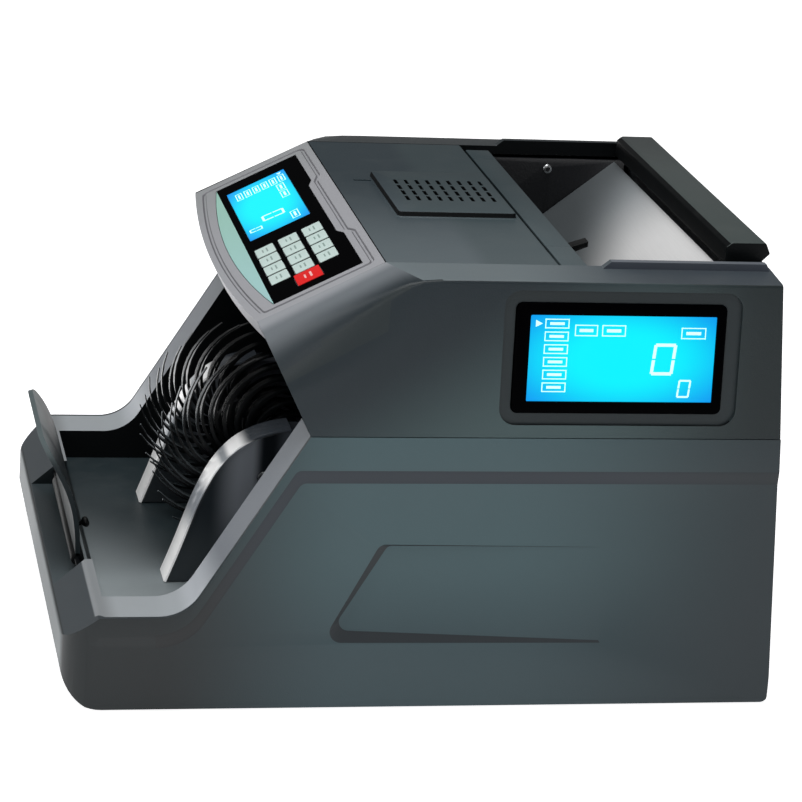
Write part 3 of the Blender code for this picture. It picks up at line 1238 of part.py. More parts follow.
def make_stopper():
    """A plate with round top corners on a hinge barrel, drawn upright and then leant outwards."""
    top = STOPPER_HEIGHT
    corners = [(-STOPPER_HALF_X, 0), (STOPPER_HALF_X, 0), (STOPPER_HALF_X, top), (-STOPPER_HALF_X, top)]
    outline = rounded(corners, [0, 0, STOPPER_CORNER, STOPPER_CORNER], STOPPER_CORNER_STEPS)
    half = STOPPER_THICKNESS / 2
    body = prism_y("stopper", outline, -half, half)
    span = (-STOPPER_HALF_X, STOPPER_HALF_X)
    join(body, rod_x("barrel", 0, 0, STOPPER_BARREL_RADIUS, *span, ROUND_SIDES // 2))
    knob_z = STOPPER_KNOB_RISE
    stem = [(x, z) for x, z in circle((STOPPER_KNOB_X, knob_z), STOPPER_KNOB_RADIUS / 2, ROUND_SIDES // 3)]
    join(body, prism_y("stem", stem, 0, half + STOPPER_KNOB_STEM))
    ball = [(x, z) for x, z in circle((STOPPER_KNOB_X, knob_z), STOPPER_KNOB_RADIUS, ROUND_SIDES // 3)]
    knob = prism_y("knob", ball, half + STOPPER_KNOB_STEM - STOPPER_KNOB_RADIUS / 2,
                   half + STOPPER_KNOB_STEM + STOPPER_KNOB_RADIUS)
    join(body, bevelled(knob, STOPPER_KNOB_RADIUS / 2))
    bore = STOPPER_PIN_RADIUS + SHAFT_PLAY
    cut(body, rod_x("bore", 0, 0, bore, -HALF_WIDTH, HALF_WIDTH, ROUND_SIDES // 2))
    turn = Matrix.Rotation(stopper_lean(), 4, "X")
    lean = Matrix.Translation((0, STOPPER_HINGE_Y, STOPPER_HINGE_Z)) @ turn
    finished(placed(body, lean), "stopper", (0, STOPPER_HINGE_Y, STOPPER_HINGE_Z))
    pin_half = NOTCH_WIDTH / 2 + STOPPER_PIN_SEAT
    pin = rod_x("stopper_pin", STOPPER_HINGE_Y, STOPPER_HINGE_Z, STOPPER_PIN_RADIUS, -pin_half, pin_half,
                ROUND_SIDES // 2)
    finished(pin, "steel")


# Electrics

def make_main_board():
    low, high = BOARD_Z, BOARD_Z + BOARD_THICKNESS
    body = block("main_board", BOARD_X, BOARD_Y, (low, high))
    for x in (BOARD_X[0] + BOARD_INSET, BOARD_X[1] - BOARD_INSET):
        for y in (BOARD_Y[0] + BOARD_INSET, BOARD_Y[1] - BOARD_INSET):
            spot = circle((x, y), BOARD_LEG, ROUND_SIDES // 3)
            leg = prism_z("leg", spot, BASE_TOP + SEAT_GAP, high + BOARD_LEG / 2)
            join(body, leg)
    middle = (BOARD_X[0] + BOARD_X[1]) / 2, (BOARD_Y[0] + BOARD_Y[1]) / 2
    for i in (-1, 0, 1):
        x = middle[0] + i * CHIP_SIZE * 2
        y = middle[1] + i * CHIP_SIZE / 2
        rise = (low + BOARD_THICKNESS / 2, high + CHIP_HEIGHT)
        join(body, block("chip", (x, x + CHIP_SIZE), (y, y + CHIP_SIZE), rise))
    return finished(body, "board")


def make_power_supply():
    low = BASE_TOP + SEAT_GAP
    body = block("power_supply", SUPPLY_X, SUPPLY_Y, (low, low + SUPPLY_HEIGHT))
    return finished(bevelled(body, SUPPLY_EDGE), "steel")


def make_power_inlet():
    face = INLET_FACE_Y
    body = block("power_inlet", INLET_X, (face - INLET_DEPTH, face), INLET_Z)
    flange = block("flange", grown(INLET_X, INLET_FLANGE),
                   (face - INLET_FLANGE_THICKNESS + SEAT_GAP, face), grown(INLET_Z, INLET_FLANGE))
    join(body, flange)
    mid_z = (INLET_Z[0] + INLET_Z[1]) / 2
    cut(body,
        block("socket", SOCKET_X, (face - SOCKET_DEPTH, face + WALL), grown(INLET_Z, -SOCKET_MARGIN_Z)))
    mid_x = (SOCKET_X[0] + SOCKET_X[1]) / 2
    for i in (-1, 0, 1):
        x, z = mid_x + i * PRONG_PITCH, mid_z + (PRONG if i == 0 else -PRONG)
        prong = block("prong", grown((x, x), PRONG / 2),
                      (face - SOCKET_DEPTH - WALL, face - SOCKET_DEPTH + PRONG_LENGTH),
                      grown((z, z), PRONG))
        join(body, prong)
    pocket = block("rocker pocket", grown(ROCKER_X, ROCKER_CLEARANCE), (face - ROCKER_POCKET, face + WALL),
                   grown((mid_z, mid_z), ROCKER_HALF_Z + ROCKER_CLEARANCE))
    cut(body, pocket)
    finished(body, "plastic")
    back = face - ROCKER_DEPTH
    outline = [(back, mid_z - ROCKER_HALF_Z), (back - ROCKER_DIP, mid_z), (back, mid_z + ROCKER_HALF_Z),
               (face + ROCKER_PROUD, mid_z + ROCKER_HALF_Z), (face + ROCKER_PROUD - ROCKER_DIP, mid_z),
               (face + ROCKER_PROUD - ROCKER_DIP * 2, mid_z - ROCKER_HALF_Z)]
    rocker = prism_x("power_rocker", outline, *ROCKER_X)
    finished(rocker, "plastic", (sum(ROCKER_X) / 2, face - ROCKER_PIVOT, mid_z))


def main():
    clear_scene()
    make_lower_housing()
    make_base_plate()
    make_feet()
    make_upper_housing()
    make_side_display()
    make_fascia()
    make_keypad()
    make_top_cover()
    make_cover_strip()
    make_hopper_plate()
    make_rear_bar()
    make_hopper_sensor()
    make_frames()
    reach = FRAME_X + FRAME_THICKNESS + WALL
    make_roller_set("pickup", pickup_centre(), PICKUP_RADIUS, (-reach, reach))
    make_roller_set("feed", feed_centre(), FEED_RADIUS, (PULLEY_X[0], reach))
    make_transport_roller()
    make_retard_parts()
    make_gap_knob()
    make_stacker()
    make_guides()
    make_motor()
    make_stopper()
    make_main_board()
    make_power_supply()
    make_power_inlet()


main()
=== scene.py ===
"""The looks of a banknote counter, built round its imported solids.

Every sub-assembly is a class: its sizes are dataclass fields in metres, and its methods make the meshes and
give them their finishes. Shapes are worked out with numpy as whole arrays on grids and profiles.
+Z is up, -Y the note tray, +Y the hopper, and +X the side with the large display.
"""
import logging
import math
from dataclasses import dataclass, field
from enum import Enum

import bmesh
import bpy
import numpy as np
from mathutils import Matrix, Vector


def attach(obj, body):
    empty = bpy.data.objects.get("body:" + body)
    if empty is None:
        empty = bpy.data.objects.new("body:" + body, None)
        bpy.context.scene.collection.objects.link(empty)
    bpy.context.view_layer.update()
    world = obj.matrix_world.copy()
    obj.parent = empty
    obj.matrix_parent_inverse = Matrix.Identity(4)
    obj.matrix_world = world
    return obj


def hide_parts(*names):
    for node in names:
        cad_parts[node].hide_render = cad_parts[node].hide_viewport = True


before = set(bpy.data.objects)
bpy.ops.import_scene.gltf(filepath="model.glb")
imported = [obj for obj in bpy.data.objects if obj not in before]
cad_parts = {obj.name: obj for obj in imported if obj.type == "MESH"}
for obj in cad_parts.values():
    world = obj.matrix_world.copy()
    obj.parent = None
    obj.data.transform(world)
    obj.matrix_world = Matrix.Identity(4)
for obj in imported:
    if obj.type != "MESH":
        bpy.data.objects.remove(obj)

LOG = logging.getLogger("banknote_counter")
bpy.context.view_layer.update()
Array = np.ndarray
Span = tuple[float, float]
Vector3 = tuple[float, float, float]
Piece = bpy.types.Object
Node = bpy.types.Node
Socket = bpy.types.NodeSocket
Tree = bpy.types.NodeTree


# Small numpy toolbox

class Axis(Enum):
    """The direction an outline is carried along, with the order its coordinates take in the world."""

    X = (2, 0, 1)
    Y = (0, 2, 1)
    Z = (0, 1, 2)


def unit(vectors: Array) -> Array:
    """Scale each row vector to length one.

    Args:
        vectors: Array whose last axis holds vectors.

    Returns:
        The same directions with length one; a zero vector stays zero.
    """
    length = np.linalg.norm(vectors, axis=-1, keepdims=True)
    return vectors / np.where(length < 1e-12, 1.0, length)


def fillet(corners: list[Span] | Array, radii: float | list[float], steps: int = 8) -> Array:
    """Round the corners of a closed outline.

    Each corner becomes an arc that touches both its edges: its centre lies on the corner's bisector at
    radius / sin(half angle), and the points between the two touching points are their spherical blend.

    Args:
        corners: (n, 2) corner points in order.
        radii: One radius, or one for each corner; 0 keeps a corner sharp.
        steps: Segments in each arc.

    Returns:
        (m, 2) points of the rounded outline.
    """
    here = np.asarray(corners, float)
    radius = np.broadcast_to(np.asarray(radii, float), (len(here),))[:, None]
    before = unit(np.roll(here, 1, 0) - here)
    after = unit(np.roll(here, -1, 0) - here)
    half = np.arccos(np.clip((before * after).sum(1, keepdims=True), -1, 1)) / 2
    centre = here + unit(before + after) * radius / np.sin(half)
    start = here + before * radius / np.tan(half) - centre
    end = here + after * radius / np.tan(half) - centre
    swing = (math.pi - 2 * half)[:, :, None]
    share = np.linspace(0, 1, steps + 1)[None, :, None]
    arc = np.sin((1 - share) * swing) * start[:, None] + np.sin(share * swing) * end[:, None]
    arc = arc / np.sin(swing)
    points = (centre[:, None] + arc).reshape(-1, 2)
    keep = np.linalg.norm(points - np.roll(points, 1, 0), axis=1) > 1e-7
    return points[keep]


def inset(outline: Array, by: float) -> Array:
    """Move a closed outline inwards along the mitre of each corner.

    The mitre is the sum of the two edge normals over one plus their dot product; the sign of the outline's
    area says which side is inside.

    Args:
        outline: (n, 2) points.
        by: Distance inwards, or outwards when negative.

    Returns:
        (n, 2) moved points.
    """
    ahead = unit(np.roll(outline, -1, 0) - outline)
    behind = np.roll(ahead, 1, 0)
    area = np.sum(outline[:, 0] * np.roll(outline[:, 1], -1) - np.roll(outline[:, 0], -1) * outline[:, 1])
    turn = np.array([-1.0, 1.0]) * np.sign(area)
    first, second = ahead[:, ::-1] * turn, behind[:, ::-1] * turn
    mitre = (first + second) / np.maximum(1 + (first * second).sum(1, keepdims=True), 0.3)
    return outline + mitre * by


def smooth_curve(points: list[Span] | Array, count: int) -> Array:
    """Carry a smooth curve through points.

    Each stretch is the cubic whose end slopes are half the difference of the neighbouring points; the end
    points are repeated outwards in a straight line.

    Args:
        points: (n, d) points to pass through.
        count: Points in the result.

    Returns:
        (count, d) points, evenly spread over the stretches.
    """
    p = np.asarray(points, float)
    p = np.vstack([2 * p[0] - p[1], p, 2 * p[-1] - p[-2]])
    place = np.linspace(0, len(p) - 3 - 1e-9, count)
    i = place.astype(int)
    t = (place - i)[:, None]
    a, b, c, d = p[i], p[i + 1], p[i + 2], p[i + 3]
    return 0.5 * (2 * b + (c - a) * t + (2 * a - 5 * b + 4 * c - d) * t**2 + (3 * b - a - 3 * c + d) * t**3)


def circle(centre: Span, radius: float, sides: int = 48) -> Array:
    """Points of a circle, as (sides, 2): the centre plus the radius times cosine and sine."""
    turn = np.linspace(0, 2 * math.pi, sides, endpoint=False)
    return np.asarray(centre) + radius * np.stack([np.cos(turn), np.sin(turn)], 1)


def rectangle(first: Span, second: Span) -> Array:
    """Corners of a rectangle from its two (low, high) spans, as (4, 2)."""
    (left, right), (low, high) = first, second
    return np.array([(left, low), (right, low), (right, high), (left, high)])


def grown(span: Span, by: float) -> Span:
    """The (low, high) span made longer by the same amount at both ends."""
    return span[0] - by, span[1] + by


def ordered(first: float, second: float) -> Span:
    """The two values as a (low, high) span."""
    return min(first, second), max(first, second)


def mesh_from(name: str, points: Array, quads: Array, caps: Array | None = None) -> Piece:
    """Make a mesh object from whole arrays, with its faces turned outwards.

    Args:
        name: Name of the object and its mesh.
        points: (n, 3) vertices.
        quads: (m, 4) vertex indices of the quads.
        caps: (k, c) vertex indices of the end faces.

    Returns:
        The new object, at the origin.
    """
    mesh = bpy.data.meshes.new(name)
    faces = quads.tolist() + ([] if caps is None else caps.tolist())
    mesh.from_pydata(points.reshape(-1, 3).tolist(), [], faces)
    work = bmesh.new()
    work.from_mesh(mesh)
    bmesh.ops.recalc_face_normals(work, faces=work.faces)
    work.to_mesh(mesh)
    work.free()
    made = bpy.data.objects.new(name, mesh)
    bpy.context.scene.collection.objects.link(made)
    return made


def loft(name: str, rings: Array, closed: bool = False) -> Piece:
    """Join rings of points into one closed skin, or several skins at once.

    Point j of ring i joins point j + 1 of the same ring and point j of ring i + 1.

    Args:
        name: Name of the object.
        rings: (rings, points, 3) array, or (bodies, rings, points, 3) for separate bodies in one mesh.
        closed: True when the last ring joins the first, so that no end faces are needed.

    Returns:
        The new object.
    """
    bodies = rings[None] if rings.ndim == 3 else rings
    count, levels, around = bodies.shape[:3]
    index = np.arange(count * levels * around).reshape(count, levels, around)
    ahead = np.roll(index, -1, 2)
    upper, upper_ahead = np.roll(index, -1, 1), np.roll(ahead, -1, 1)
    keep = slice(None) if closed else slice(0, levels - 1)
    quads = np.stack([index, ahead, upper_ahead, upper], -1)[:, keep].reshape(-1, 4)
    caps = None if closed else np.concatenate([index[:, 0, ::-1], index[:, -1]])
    return mesh_from(name, bodies, quads, caps)


def carried(name: str, outline: Array, axis: Axis, low: float, high: float, edge: float = 0.0,
            steps: int = 3) -> Piece:
    """Carry an outline along an axis, with its two rims rounded.

    Each rim is a quarter circle: at angle a the outline is inset by edge * (1 - sin a) and lies
    edge * (1 - cos a) in from the end.

    Args:
        name: Name of the object.
        outline: (n, 2) points across the axis.
        axis: The axis to follow.
        low: Where the body starts.
        high: Where it ends.
        edge: Radius of the rims; 0 leaves them square.
        steps: Segments in each rim.

    Returns:
        The new object.
    """
    if edge:
        turn = np.linspace(0, math.pi / 2, steps + 1)
        insets = np.concatenate([edge * (1 - np.sin(turn)), edge * (1 - np.sin(turn[::-1]))])
        levels = np.concatenate([low + edge * (1 - np.cos(turn)), high - edge * (1 - np.cos(turn[::-1]))])
    else:
        insets, levels = np.zeros(2), np.array([low, high])
    flat = np.stack([inset(outline, by) for by in insets])
    rings = np.concatenate([flat, np.broadcast_to(levels[:, None, None], flat.shape[:2] + (1,))], 2)
    return loft(name, rings[:, :, list(axis.value)])


def turned_body(name: str, profile: list[Span] | Array, centre: Span, sides: int = 64) -> Piece:
    """Turn a profile about an axis along X.

    Args:
        name: Name of the object.
        profile: (n, 2) points of (x, radius), from one end to the other.
        centre: (y, z) of the axis.
        sides: Segments round the axis.

    Returns:
        The new object.
    """
    shape = np.asarray(profile, float)
    turn = np.linspace(0, 2 * math.pi, sides, endpoint=False)
    x = np.broadcast_to(shape[:, :1], (len(shape), sides))
    y = centre[0] + shape[:, 1:] * np.cos(turn)
    z = centre[1] + shape[:, 1:] * np.sin(turn)
    return loft(name, np.stack([x, y, z], -1))


def swept_loop(name: str, loop: Array, section: list[Span], matrix: Matrix) -> Piece:
    """Sweep a small section round a flat closed loop.

    Each loop point moves by the section's first value along the loop's inward mitre and by its second value
    out of the plane.

    Args:
        name: Name of the object.
        loop: (n, 2) points of the loop.
        section: (in, out) points of the closed section.
        matrix: From the loop's plane to the world.

    Returns:
        The new object.
    """
    flat = np.stack([inset(loop, across) for across, _ in section], 1)
    height = np.broadcast_to(np.array([out for _, out in section])[None, :, None], flat.shape[:2] + (1,))
    return placed(loft(name, np.concatenate([flat, height], 2), closed=True), matrix)


# Work on finished meshes

def placed(piece: Piece, matrix: Matrix) -> Piece:
    """Move a piece's mesh by a matrix, leaving its object at the origin."""
    piece.data.transform(matrix)
    return piece


def combine(target: Piece, other: Piece, operation: str) -> Piece:
    """Apply a Boolean of another object to the target, and remove that object.

    Args:
        target: The object that stays.
        other: The object that is used up.
        operation: DIFFERENCE, UNION or INTERSECT.

    Returns:
        The target.
    """
    change = target.modifiers.new("combine", "BOOLEAN")
    change.operation, change.solver, change.object = operation, "EXACT", other
    graph = bpy.context.evaluated_depsgraph_get()
    mesh = bpy.data.meshes.new_from_object(target.evaluated_get(graph))
    target.modifiers.clear()
    old, target.data = target.data, mesh
    mesh.name = target.name
    bpy.data.meshes.remove(old)
    bpy.data.objects.remove(other, do_unlink=True)
    return target


def cut(target: Piece, *cutters: Piece) -> Piece:
    """Take each cutter away from the target."""
    for cutter in cutters:
        combine(target, cutter, "DIFFERENCE")
    return target


def join(target: Piece, *others: Piece) -> Piece:
    """Add each other body to the target."""
    for other in others:
        combine(target, other, "UNION")
    return target


def merged_copy(node: str, name: str) -> Piece:
    """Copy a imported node's mesh and join its loose triangles into clean flat faces.

    Args:
        node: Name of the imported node.
        name: Name of the copy.

    Returns:
        The copy, at the origin.
    """
    work = bmesh.new()
    work.from_mesh(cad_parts[node].data)
    bmesh.ops.remove_doubles(work, verts=work.verts, dist=1e-6)
    bmesh.ops.dissolve_limit(work, angle_limit=math.radians(0.6), verts=work.verts, edges=work.edges)
    mesh = bpy.data.meshes.new(name)
    work.to_mesh(mesh)
    work.free()
    made = bpy.data.objects.new(name, mesh)
    bpy.context.scene.collection.objects.link(made)
    return made


def softened(piece: Piece, width: float, segments: int = 2, angle: float = 28.0) -> Piece:
    """Round the sharp edges of a piece and shade it smooth.

    Args:
        piece: The object.
        width: Width of the rounded edge.
        segments: Segments across it.
        angle: Edges that bend more than this, in degrees, are rounded.

    Returns:
        The piece.
    """
    piece.data.shade_smooth()
    bevel = piece.modifiers.new("soft edges", "BEVEL")
    bevel.width, bevel.segments = width, segments
    bevel.limit_method, bevel.angle_limit = "ANGLE", math.radians(angle)
    bevel.harden_normals = True
    bevel.miter_outer = "MITER_ARC"
    return piece


def smoothed(piece: Piece, angle: float = 35.0) -> Piece:
    """Shade a piece smooth, with edges over the angle, in degrees, kept crisp."""
    piece.data.shade_smooth()
    piece.data.set_sharp_from_angle(angle=math.radians(angle))
    return piece


def face_arrays(piece: Piece) -> tuple[Array, Array]:
    """Centres and normals of a piece's faces, each as (faces, 3)."""
    count = len(piece.data.polygons)
    centre, normal = np.zeros(count * 3), np.zeros(count * 3)
    piece.data.polygons.foreach_get("center", centre)
    piece.data.polygons.foreach_get("normal", normal)
    return centre.reshape(-1, 3), normal.reshape(-1, 3)


def paint(piece: Piece, finish: "Finish", chosen: Array) -> None:
    """Give a second finish to chosen faces.

    Args:
        piece: The object, which already has its first finish.
        finish: The finish of the chosen faces.
        chosen: One true or false value for each face.
    """
    mesh = piece.data
    mesh.materials.append(finish.material())
    slots = np.zeros(len(mesh.polygons), np.int32)
    mesh.polygons.foreach_get("material_index", slots)
    slots[chosen] = len(mesh.materials) - 1
    mesh.polygons.foreach_set("material_index", slots)


# Finishes

def colour(code: str) -> tuple[float, float, float, float]:
    """Turn six hex digits of display colour into linear light.

    Each channel is v / 12.92 below 0.04045, and otherwise ((v + 0.055) / 1.055) to the power 2.4.

    Args:
        code: Six hex digits.

    Returns:
        Linear red, green, blue and 1.
    """
    v = np.array([int(code[i:i + 2], 16) / 255 for i in (0, 2, 4)])
    linear = np.where(v <= 0.04045, v / 12.92, ((v + 0.055) / 1.055) ** 2.4)
    return float(linear[0]), float(linear[1]), float(linear[2]), 1.0


class Graph:
    """A thin hand for placing and wiring shader nodes in one tree."""

    def __init__(self, tree: Tree) -> None:
        """Keep the tree to work on."""
        self.tree = tree

    def node(self, kind: str, **values: object) -> Node:
        """Add a node.

        Args:
            kind: Its type without the ShaderNode prefix.
            **values: Its properties by name.

        Returns:
            The node.
        """
        made = self.tree.nodes.new("ShaderNode" + kind)
        for name, value in values.items():
            setattr(made, name, value)
        return made

    def feed(self, socket: Socket, value: object) -> None:
        """Set an input, or wire it when the value is an output socket."""
        if isinstance(value, Socket):
            self.tree.links.new(value, socket)
        else:
            socket.default_value = value

    def math(self, operation: str, first: object, second: object = 0.0, clamp: bool = False) -> Socket:
        """Add a Math node and return its output."""
        made = self.node("Math", operation=operation, use_clamp=clamp)
        self.feed(made.inputs[0], first)
        self.feed(made.inputs[1], second)
        return made.outputs[0]

    def ramp(self, value: object, start: float, end: float, low: float = 0.0, high: float = 1.0) -> Socket:
        """Ease a value from low at start to high at end, and return the output."""
        made = self.node("MapRange", interpolation_type="SMOOTHSTEP")
        for socket, given in zip(made.inputs[:5], (value, start, end, low, high)):
            self.feed(socket, given)
        return made.outputs[0]

    def mix(self, share: object, first: object, second: object, blend: str = "MIX") -> Socket:
        """Mix two colours and return the result."""
        made = self.node("Mix", data_type="RGBA", blend_type=blend)
        self.feed(made.inputs[0], share)
        self.feed(made.inputs[6], first)
        self.feed(made.inputs[7], second)
        return made.outputs[2]

    def place(self) -> Socket:
        """The point's Object coordinates."""
        return self.node("TexCoord").outputs["Object"]

    def folded(self) -> Socket:
        """Object coordinates with the left half folded over onto the right."""
        parts, whole = self.node("SeparateXYZ"), self.node("CombineXYZ")
        self.feed(parts.inputs[0], self.place())
        self.feed(whole.inputs[0], self.math("ABSOLUTE", parts.outputs[0]))
        for i in (1, 2):
            self.feed(whole.inputs[i], parts.outputs[i])
        return whole.outputs[0]

    def along(self, vector: object, direction: Vector3) -> Socket:
        """How far a vector reaches along a direction: their dot product."""
        made = self.node("VectorMath", operation="DOT_PRODUCT")
        self.feed(made.inputs[0], vector)
        made.inputs[1].default_value = direction
        return made.outputs["Value"]

    def noise(self, vector: object, scale: float, detail: float = 3.0, roughness: float = 0.5) -> Socket:
        """Add a noise texture and return its value."""
        made = self.node("TexNoise")
        self.feed(made.inputs["Vector"], vector)
        made.inputs["Scale"].default_value = scale
        made.inputs["Detail"].default_value = detail
        made.inputs["Roughness"].default_value = roughness
        return made.outputs["Fac"]

    def group(self, tree: Tree, **values: object) -> Node:
        """Place a shared group and set its inputs by name, with underscores for spaces."""
        made = self.node("Group", node_tree=tree)
        for name, value in values.items():
            self.feed(made.inputs[name.replace("_", " ")], value)
        return made


class Effect(Enum):
    """The shared effects, each one shader node group that is built once."""

    GRAIN = "moulded grain"
    DUST = "settled dust"
    LINES = "drawn lines"

    def tree(self) -> Tree:
        """The effect's node group, made on its first use."""
        return bpy.data.node_groups.get(self.value) or {
            Effect.GRAIN: build_grain, Effect.DUST: build_dust, Effect.LINES: build_lines}[self]()


def new_group(name: str, inputs: dict[str, float | None],
              outputs: tuple[str, ...]) -> tuple[Graph, object, object]:
    """Start a shader node group.

    Args:
        name: The group's name.
        inputs: Input names with a default number, or None for a vector.
        outputs: Names of the number outputs.

    Returns:
        The graph, and the group's input and output nodes.
    """
    tree = bpy.data.node_groups.new(name, "ShaderNodeTree")
    for label, default in inputs.items():
        kind = "NodeSocketVector" if default is None else "NodeSocketFloat"
        made = tree.interface.new_socket(label, in_out="INPUT", socket_type=kind)
        if default is not None:
            made.default_value = default
    for label in outputs:
        tree.interface.new_socket(label, in_out="OUTPUT", socket_type="NodeSocketFloat")
    graph = Graph(tree)
    return graph, tree.nodes.new("NodeGroupInput"), tree.nodes.new("NodeGroupOutput")


def build_grain() -> Tree:
    """Fine pebbled skin of moulded plastic: its height, and a slow drift of gloss over the surface."""
    graph, start, end = new_group(Effect.GRAIN.value, {"Vector": None, "Size": 0.0006, "Drift": 0.05},
                                  ("Height", "Drift"))
    scale = graph.math("DIVIDE", 1.0, start.outputs["Size"])
    cells = graph.node("TexVoronoi", feature="SMOOTH_F1")
    graph.feed(cells.inputs["Vector"], start.outputs["Vector"])
    graph.feed(cells.inputs["Scale"], scale)
    fine = graph.node("TexNoise")
    graph.feed(fine.inputs["Vector"], start.outputs["Vector"])
    graph.feed(fine.inputs["Scale"], graph.math("MULTIPLY", scale, 0.45))
    height = graph.math("ADD", graph.math("MULTIPLY", cells.outputs["Distance"], 0.6),
                        graph.math("MULTIPLY", fine.outputs["Fac"], 0.5))
    slow = graph.noise(start.outputs["Vector"], 14.0, 2.0)
    drift = graph.math("MULTIPLY", graph.math("SUBTRACT", slow, 0.5), start.outputs["Drift"])
    graph.feed(end.inputs["Height"], height)
    graph.feed(end.inputs["Drift"], drift)
    return graph.tree


def build_dust() -> Tree:
    """Dust that lies on faces turned upwards, broken up by noise."""
    inputs = {"Vector": None, "Normal": None, "Amount": 0.1}
    graph, start, end = new_group(Effect.DUST.value, inputs, ("Mask",))
    up = graph.ramp(graph.along(start.outputs["Normal"], (0.0, 0.0, 1.0)), 0.55, 1.0)
    patches = graph.ramp(graph.noise(start.outputs["Vector"], 60.0, 6.0, 0.65), 0.42, 0.75)
    mask = graph.math("MULTIPLY", graph.math("MULTIPLY", up, patches), start.outputs["Amount"], clamp=True)
    graph.feed(end.inputs["Mask"], mask)
    return graph.tree


def build_lines() -> Tree:
    """Fine lines left by rolling or turning, drawn out along X."""
    graph, start, end = new_group(Effect.LINES.value, {"Vector": None, "Pitch": 0.0004}, ("Height",))
    squeeze = graph.node("VectorMath", operation="MULTIPLY")
    graph.feed(squeeze.inputs[0], start.outputs["Vector"])
    squeeze.inputs[1].default_value = (0.02, 1.0, 1.0)
    lines = graph.node("TexNoise")
    graph.feed(lines.inputs["Vector"], squeeze.outputs[0])
    graph.feed(lines.inputs["Scale"], graph.math("DIVIDE", 1.0, start.outputs["Pitch"]))
    lines.inputs["Detail"].default_value = 2.0
    graph.feed(end.inputs["Height"], lines.outputs["Fac"])
    return graph.tree


@dataclass(frozen=True)
class Fall:
    """A slow change of colour: it eases in as position along a direction goes from start to end. Most falls here
    are painted shade or painted highlights.

    A folded fall counts the distance from the middle plane, so that it is the same on both sides.
    """

    direction: Vector3
    start: float
    end: float
    code: str
    share: float = 1.0
    folded: bool = False


@dataclass(frozen=True)
class Finish:
    """What every finish has: a name, a colour with its falls, and a roughness."""

    name: str
    code: str
    roughness: float = 0.45
    falls: tuple[Fall, ...] = ()

    def material(self) -> bpy.types.Material:
        """The finish's material, made on its first use."""
        found = bpy.data.materials.get(self.name)
        if found:
            return found
        made = bpy.data.materials.new(self.name)
        made.use_nodes = True
        self.dress(Graph(made.node_tree), made.node_tree.nodes["Principled BSDF"])
        return made

    def base(self, graph: Graph) -> Socket | tuple:
        """The base colour with each fall laid over it in turn."""
        shade: object = colour(self.code)
        for fall in self.falls:
            reach = graph.along(graph.folded() if fall.folded else graph.place(), fall.direction)
            mask = graph.ramp(reach, fall.start, fall.end, 0.0, fall.share)
            shade = graph.mix(mask, shade, colour(fall.code))
        return shade

    def dress(self, graph: Graph, shader: Node) -> None:
        """Wire the finish into a new material; each kind of finish has its own way."""
        graph.feed(shader.inputs["Base Color"], self.base(graph))
        shader.inputs["Roughness"].default_value = self.roughness


@dataclass(frozen=True)
class Plastic(Finish):
    """Moulded plastic: fine grain in the skin, gloss that drifts slowly, and a little dust on top."""

    grain: float = 0.0006
    depth: float = 0.10
    dust: float = 0.05
    dust_code: str = "8a8c88"
    coat: float = 0.0
    shine: float = 0.35

    def dress(self, graph: Graph, shader: Node) -> None:
        """Wire colour, dust, roughness and grain."""
        place = graph.place()
        normal = graph.node("NewGeometry").outputs["Normal"]
        dust = graph.group(Effect.DUST.tree(), Vector=place, Normal=normal, Amount=self.dust).outputs["Mask"]
        grain = graph.group(Effect.GRAIN.tree(), Vector=place, Size=self.grain, Drift=0.10)
        graph.feed(shader.inputs["Base Color"], graph.mix(dust, self.base(graph), colour(self.dust_code)))
        rough = graph.math("ADD", graph.math("ADD", self.roughness, grain.outputs["Drift"]), dust, clamp=True)
        graph.feed(shader.inputs["Roughness"], rough)
        bump = graph.node("Bump")
        bump.inputs["Strength"].default_value = self.depth
        bump.inputs["Distance"].default_value = self.grain
        graph.feed(bump.inputs["Height"], grain.outputs["Height"])
        graph.feed(shader.inputs["Normal"], bump.outputs[0])
        shader.inputs["Specular IOR Level"].default_value = self.shine
        if self.coat:
            shader.inputs["Coat Weight"].default_value = self.coat
            shader.inputs["Coat Roughness"].default_value = 0.12


@dataclass(frozen=True)
class Metal(Finish):
    """Bare metal with fine drawn lines, and a painted glow that can lift its colour."""

    metallic: float = 1.0
    pitch: float = 0.0004
    depth: float = 0.12
    painted_glow: float = 0.0

    def dress(self, graph: Graph, shader: Node) -> None:
        """Wire colour, lines, a slow drift of gloss and the painted glow."""
        place = graph.place()
        lines = graph.group(Effect.LINES.tree(), Vector=place, Pitch=self.pitch).outputs["Height"]
        shade = graph.mix(graph.math("MULTIPLY", lines, 0.12), self.base(graph), colour("303234"))
        graph.feed(shader.inputs["Base Color"], shade)
        graph.feed(shader.inputs["Emission Color"], shade)
        shader.inputs["Emission Strength"].default_value = self.painted_glow
        shader.inputs["Metallic"].default_value = self.metallic
        slow = graph.noise(place, 22.0, 3.0)
        rough = graph.ramp(slow, 0.3, 0.7, self.roughness * 0.85, self.roughness * 1.15)
        graph.feed(shader.inputs["Roughness"], rough)
        bump = graph.node("Bump")
        bump.inputs["Strength"].default_value = self.depth
        bump.inputs["Distance"].default_value = self.pitch
        graph.feed(bump.inputs["Height"], lines)
        graph.feed(shader.inputs["Normal"], bump.outputs[0])


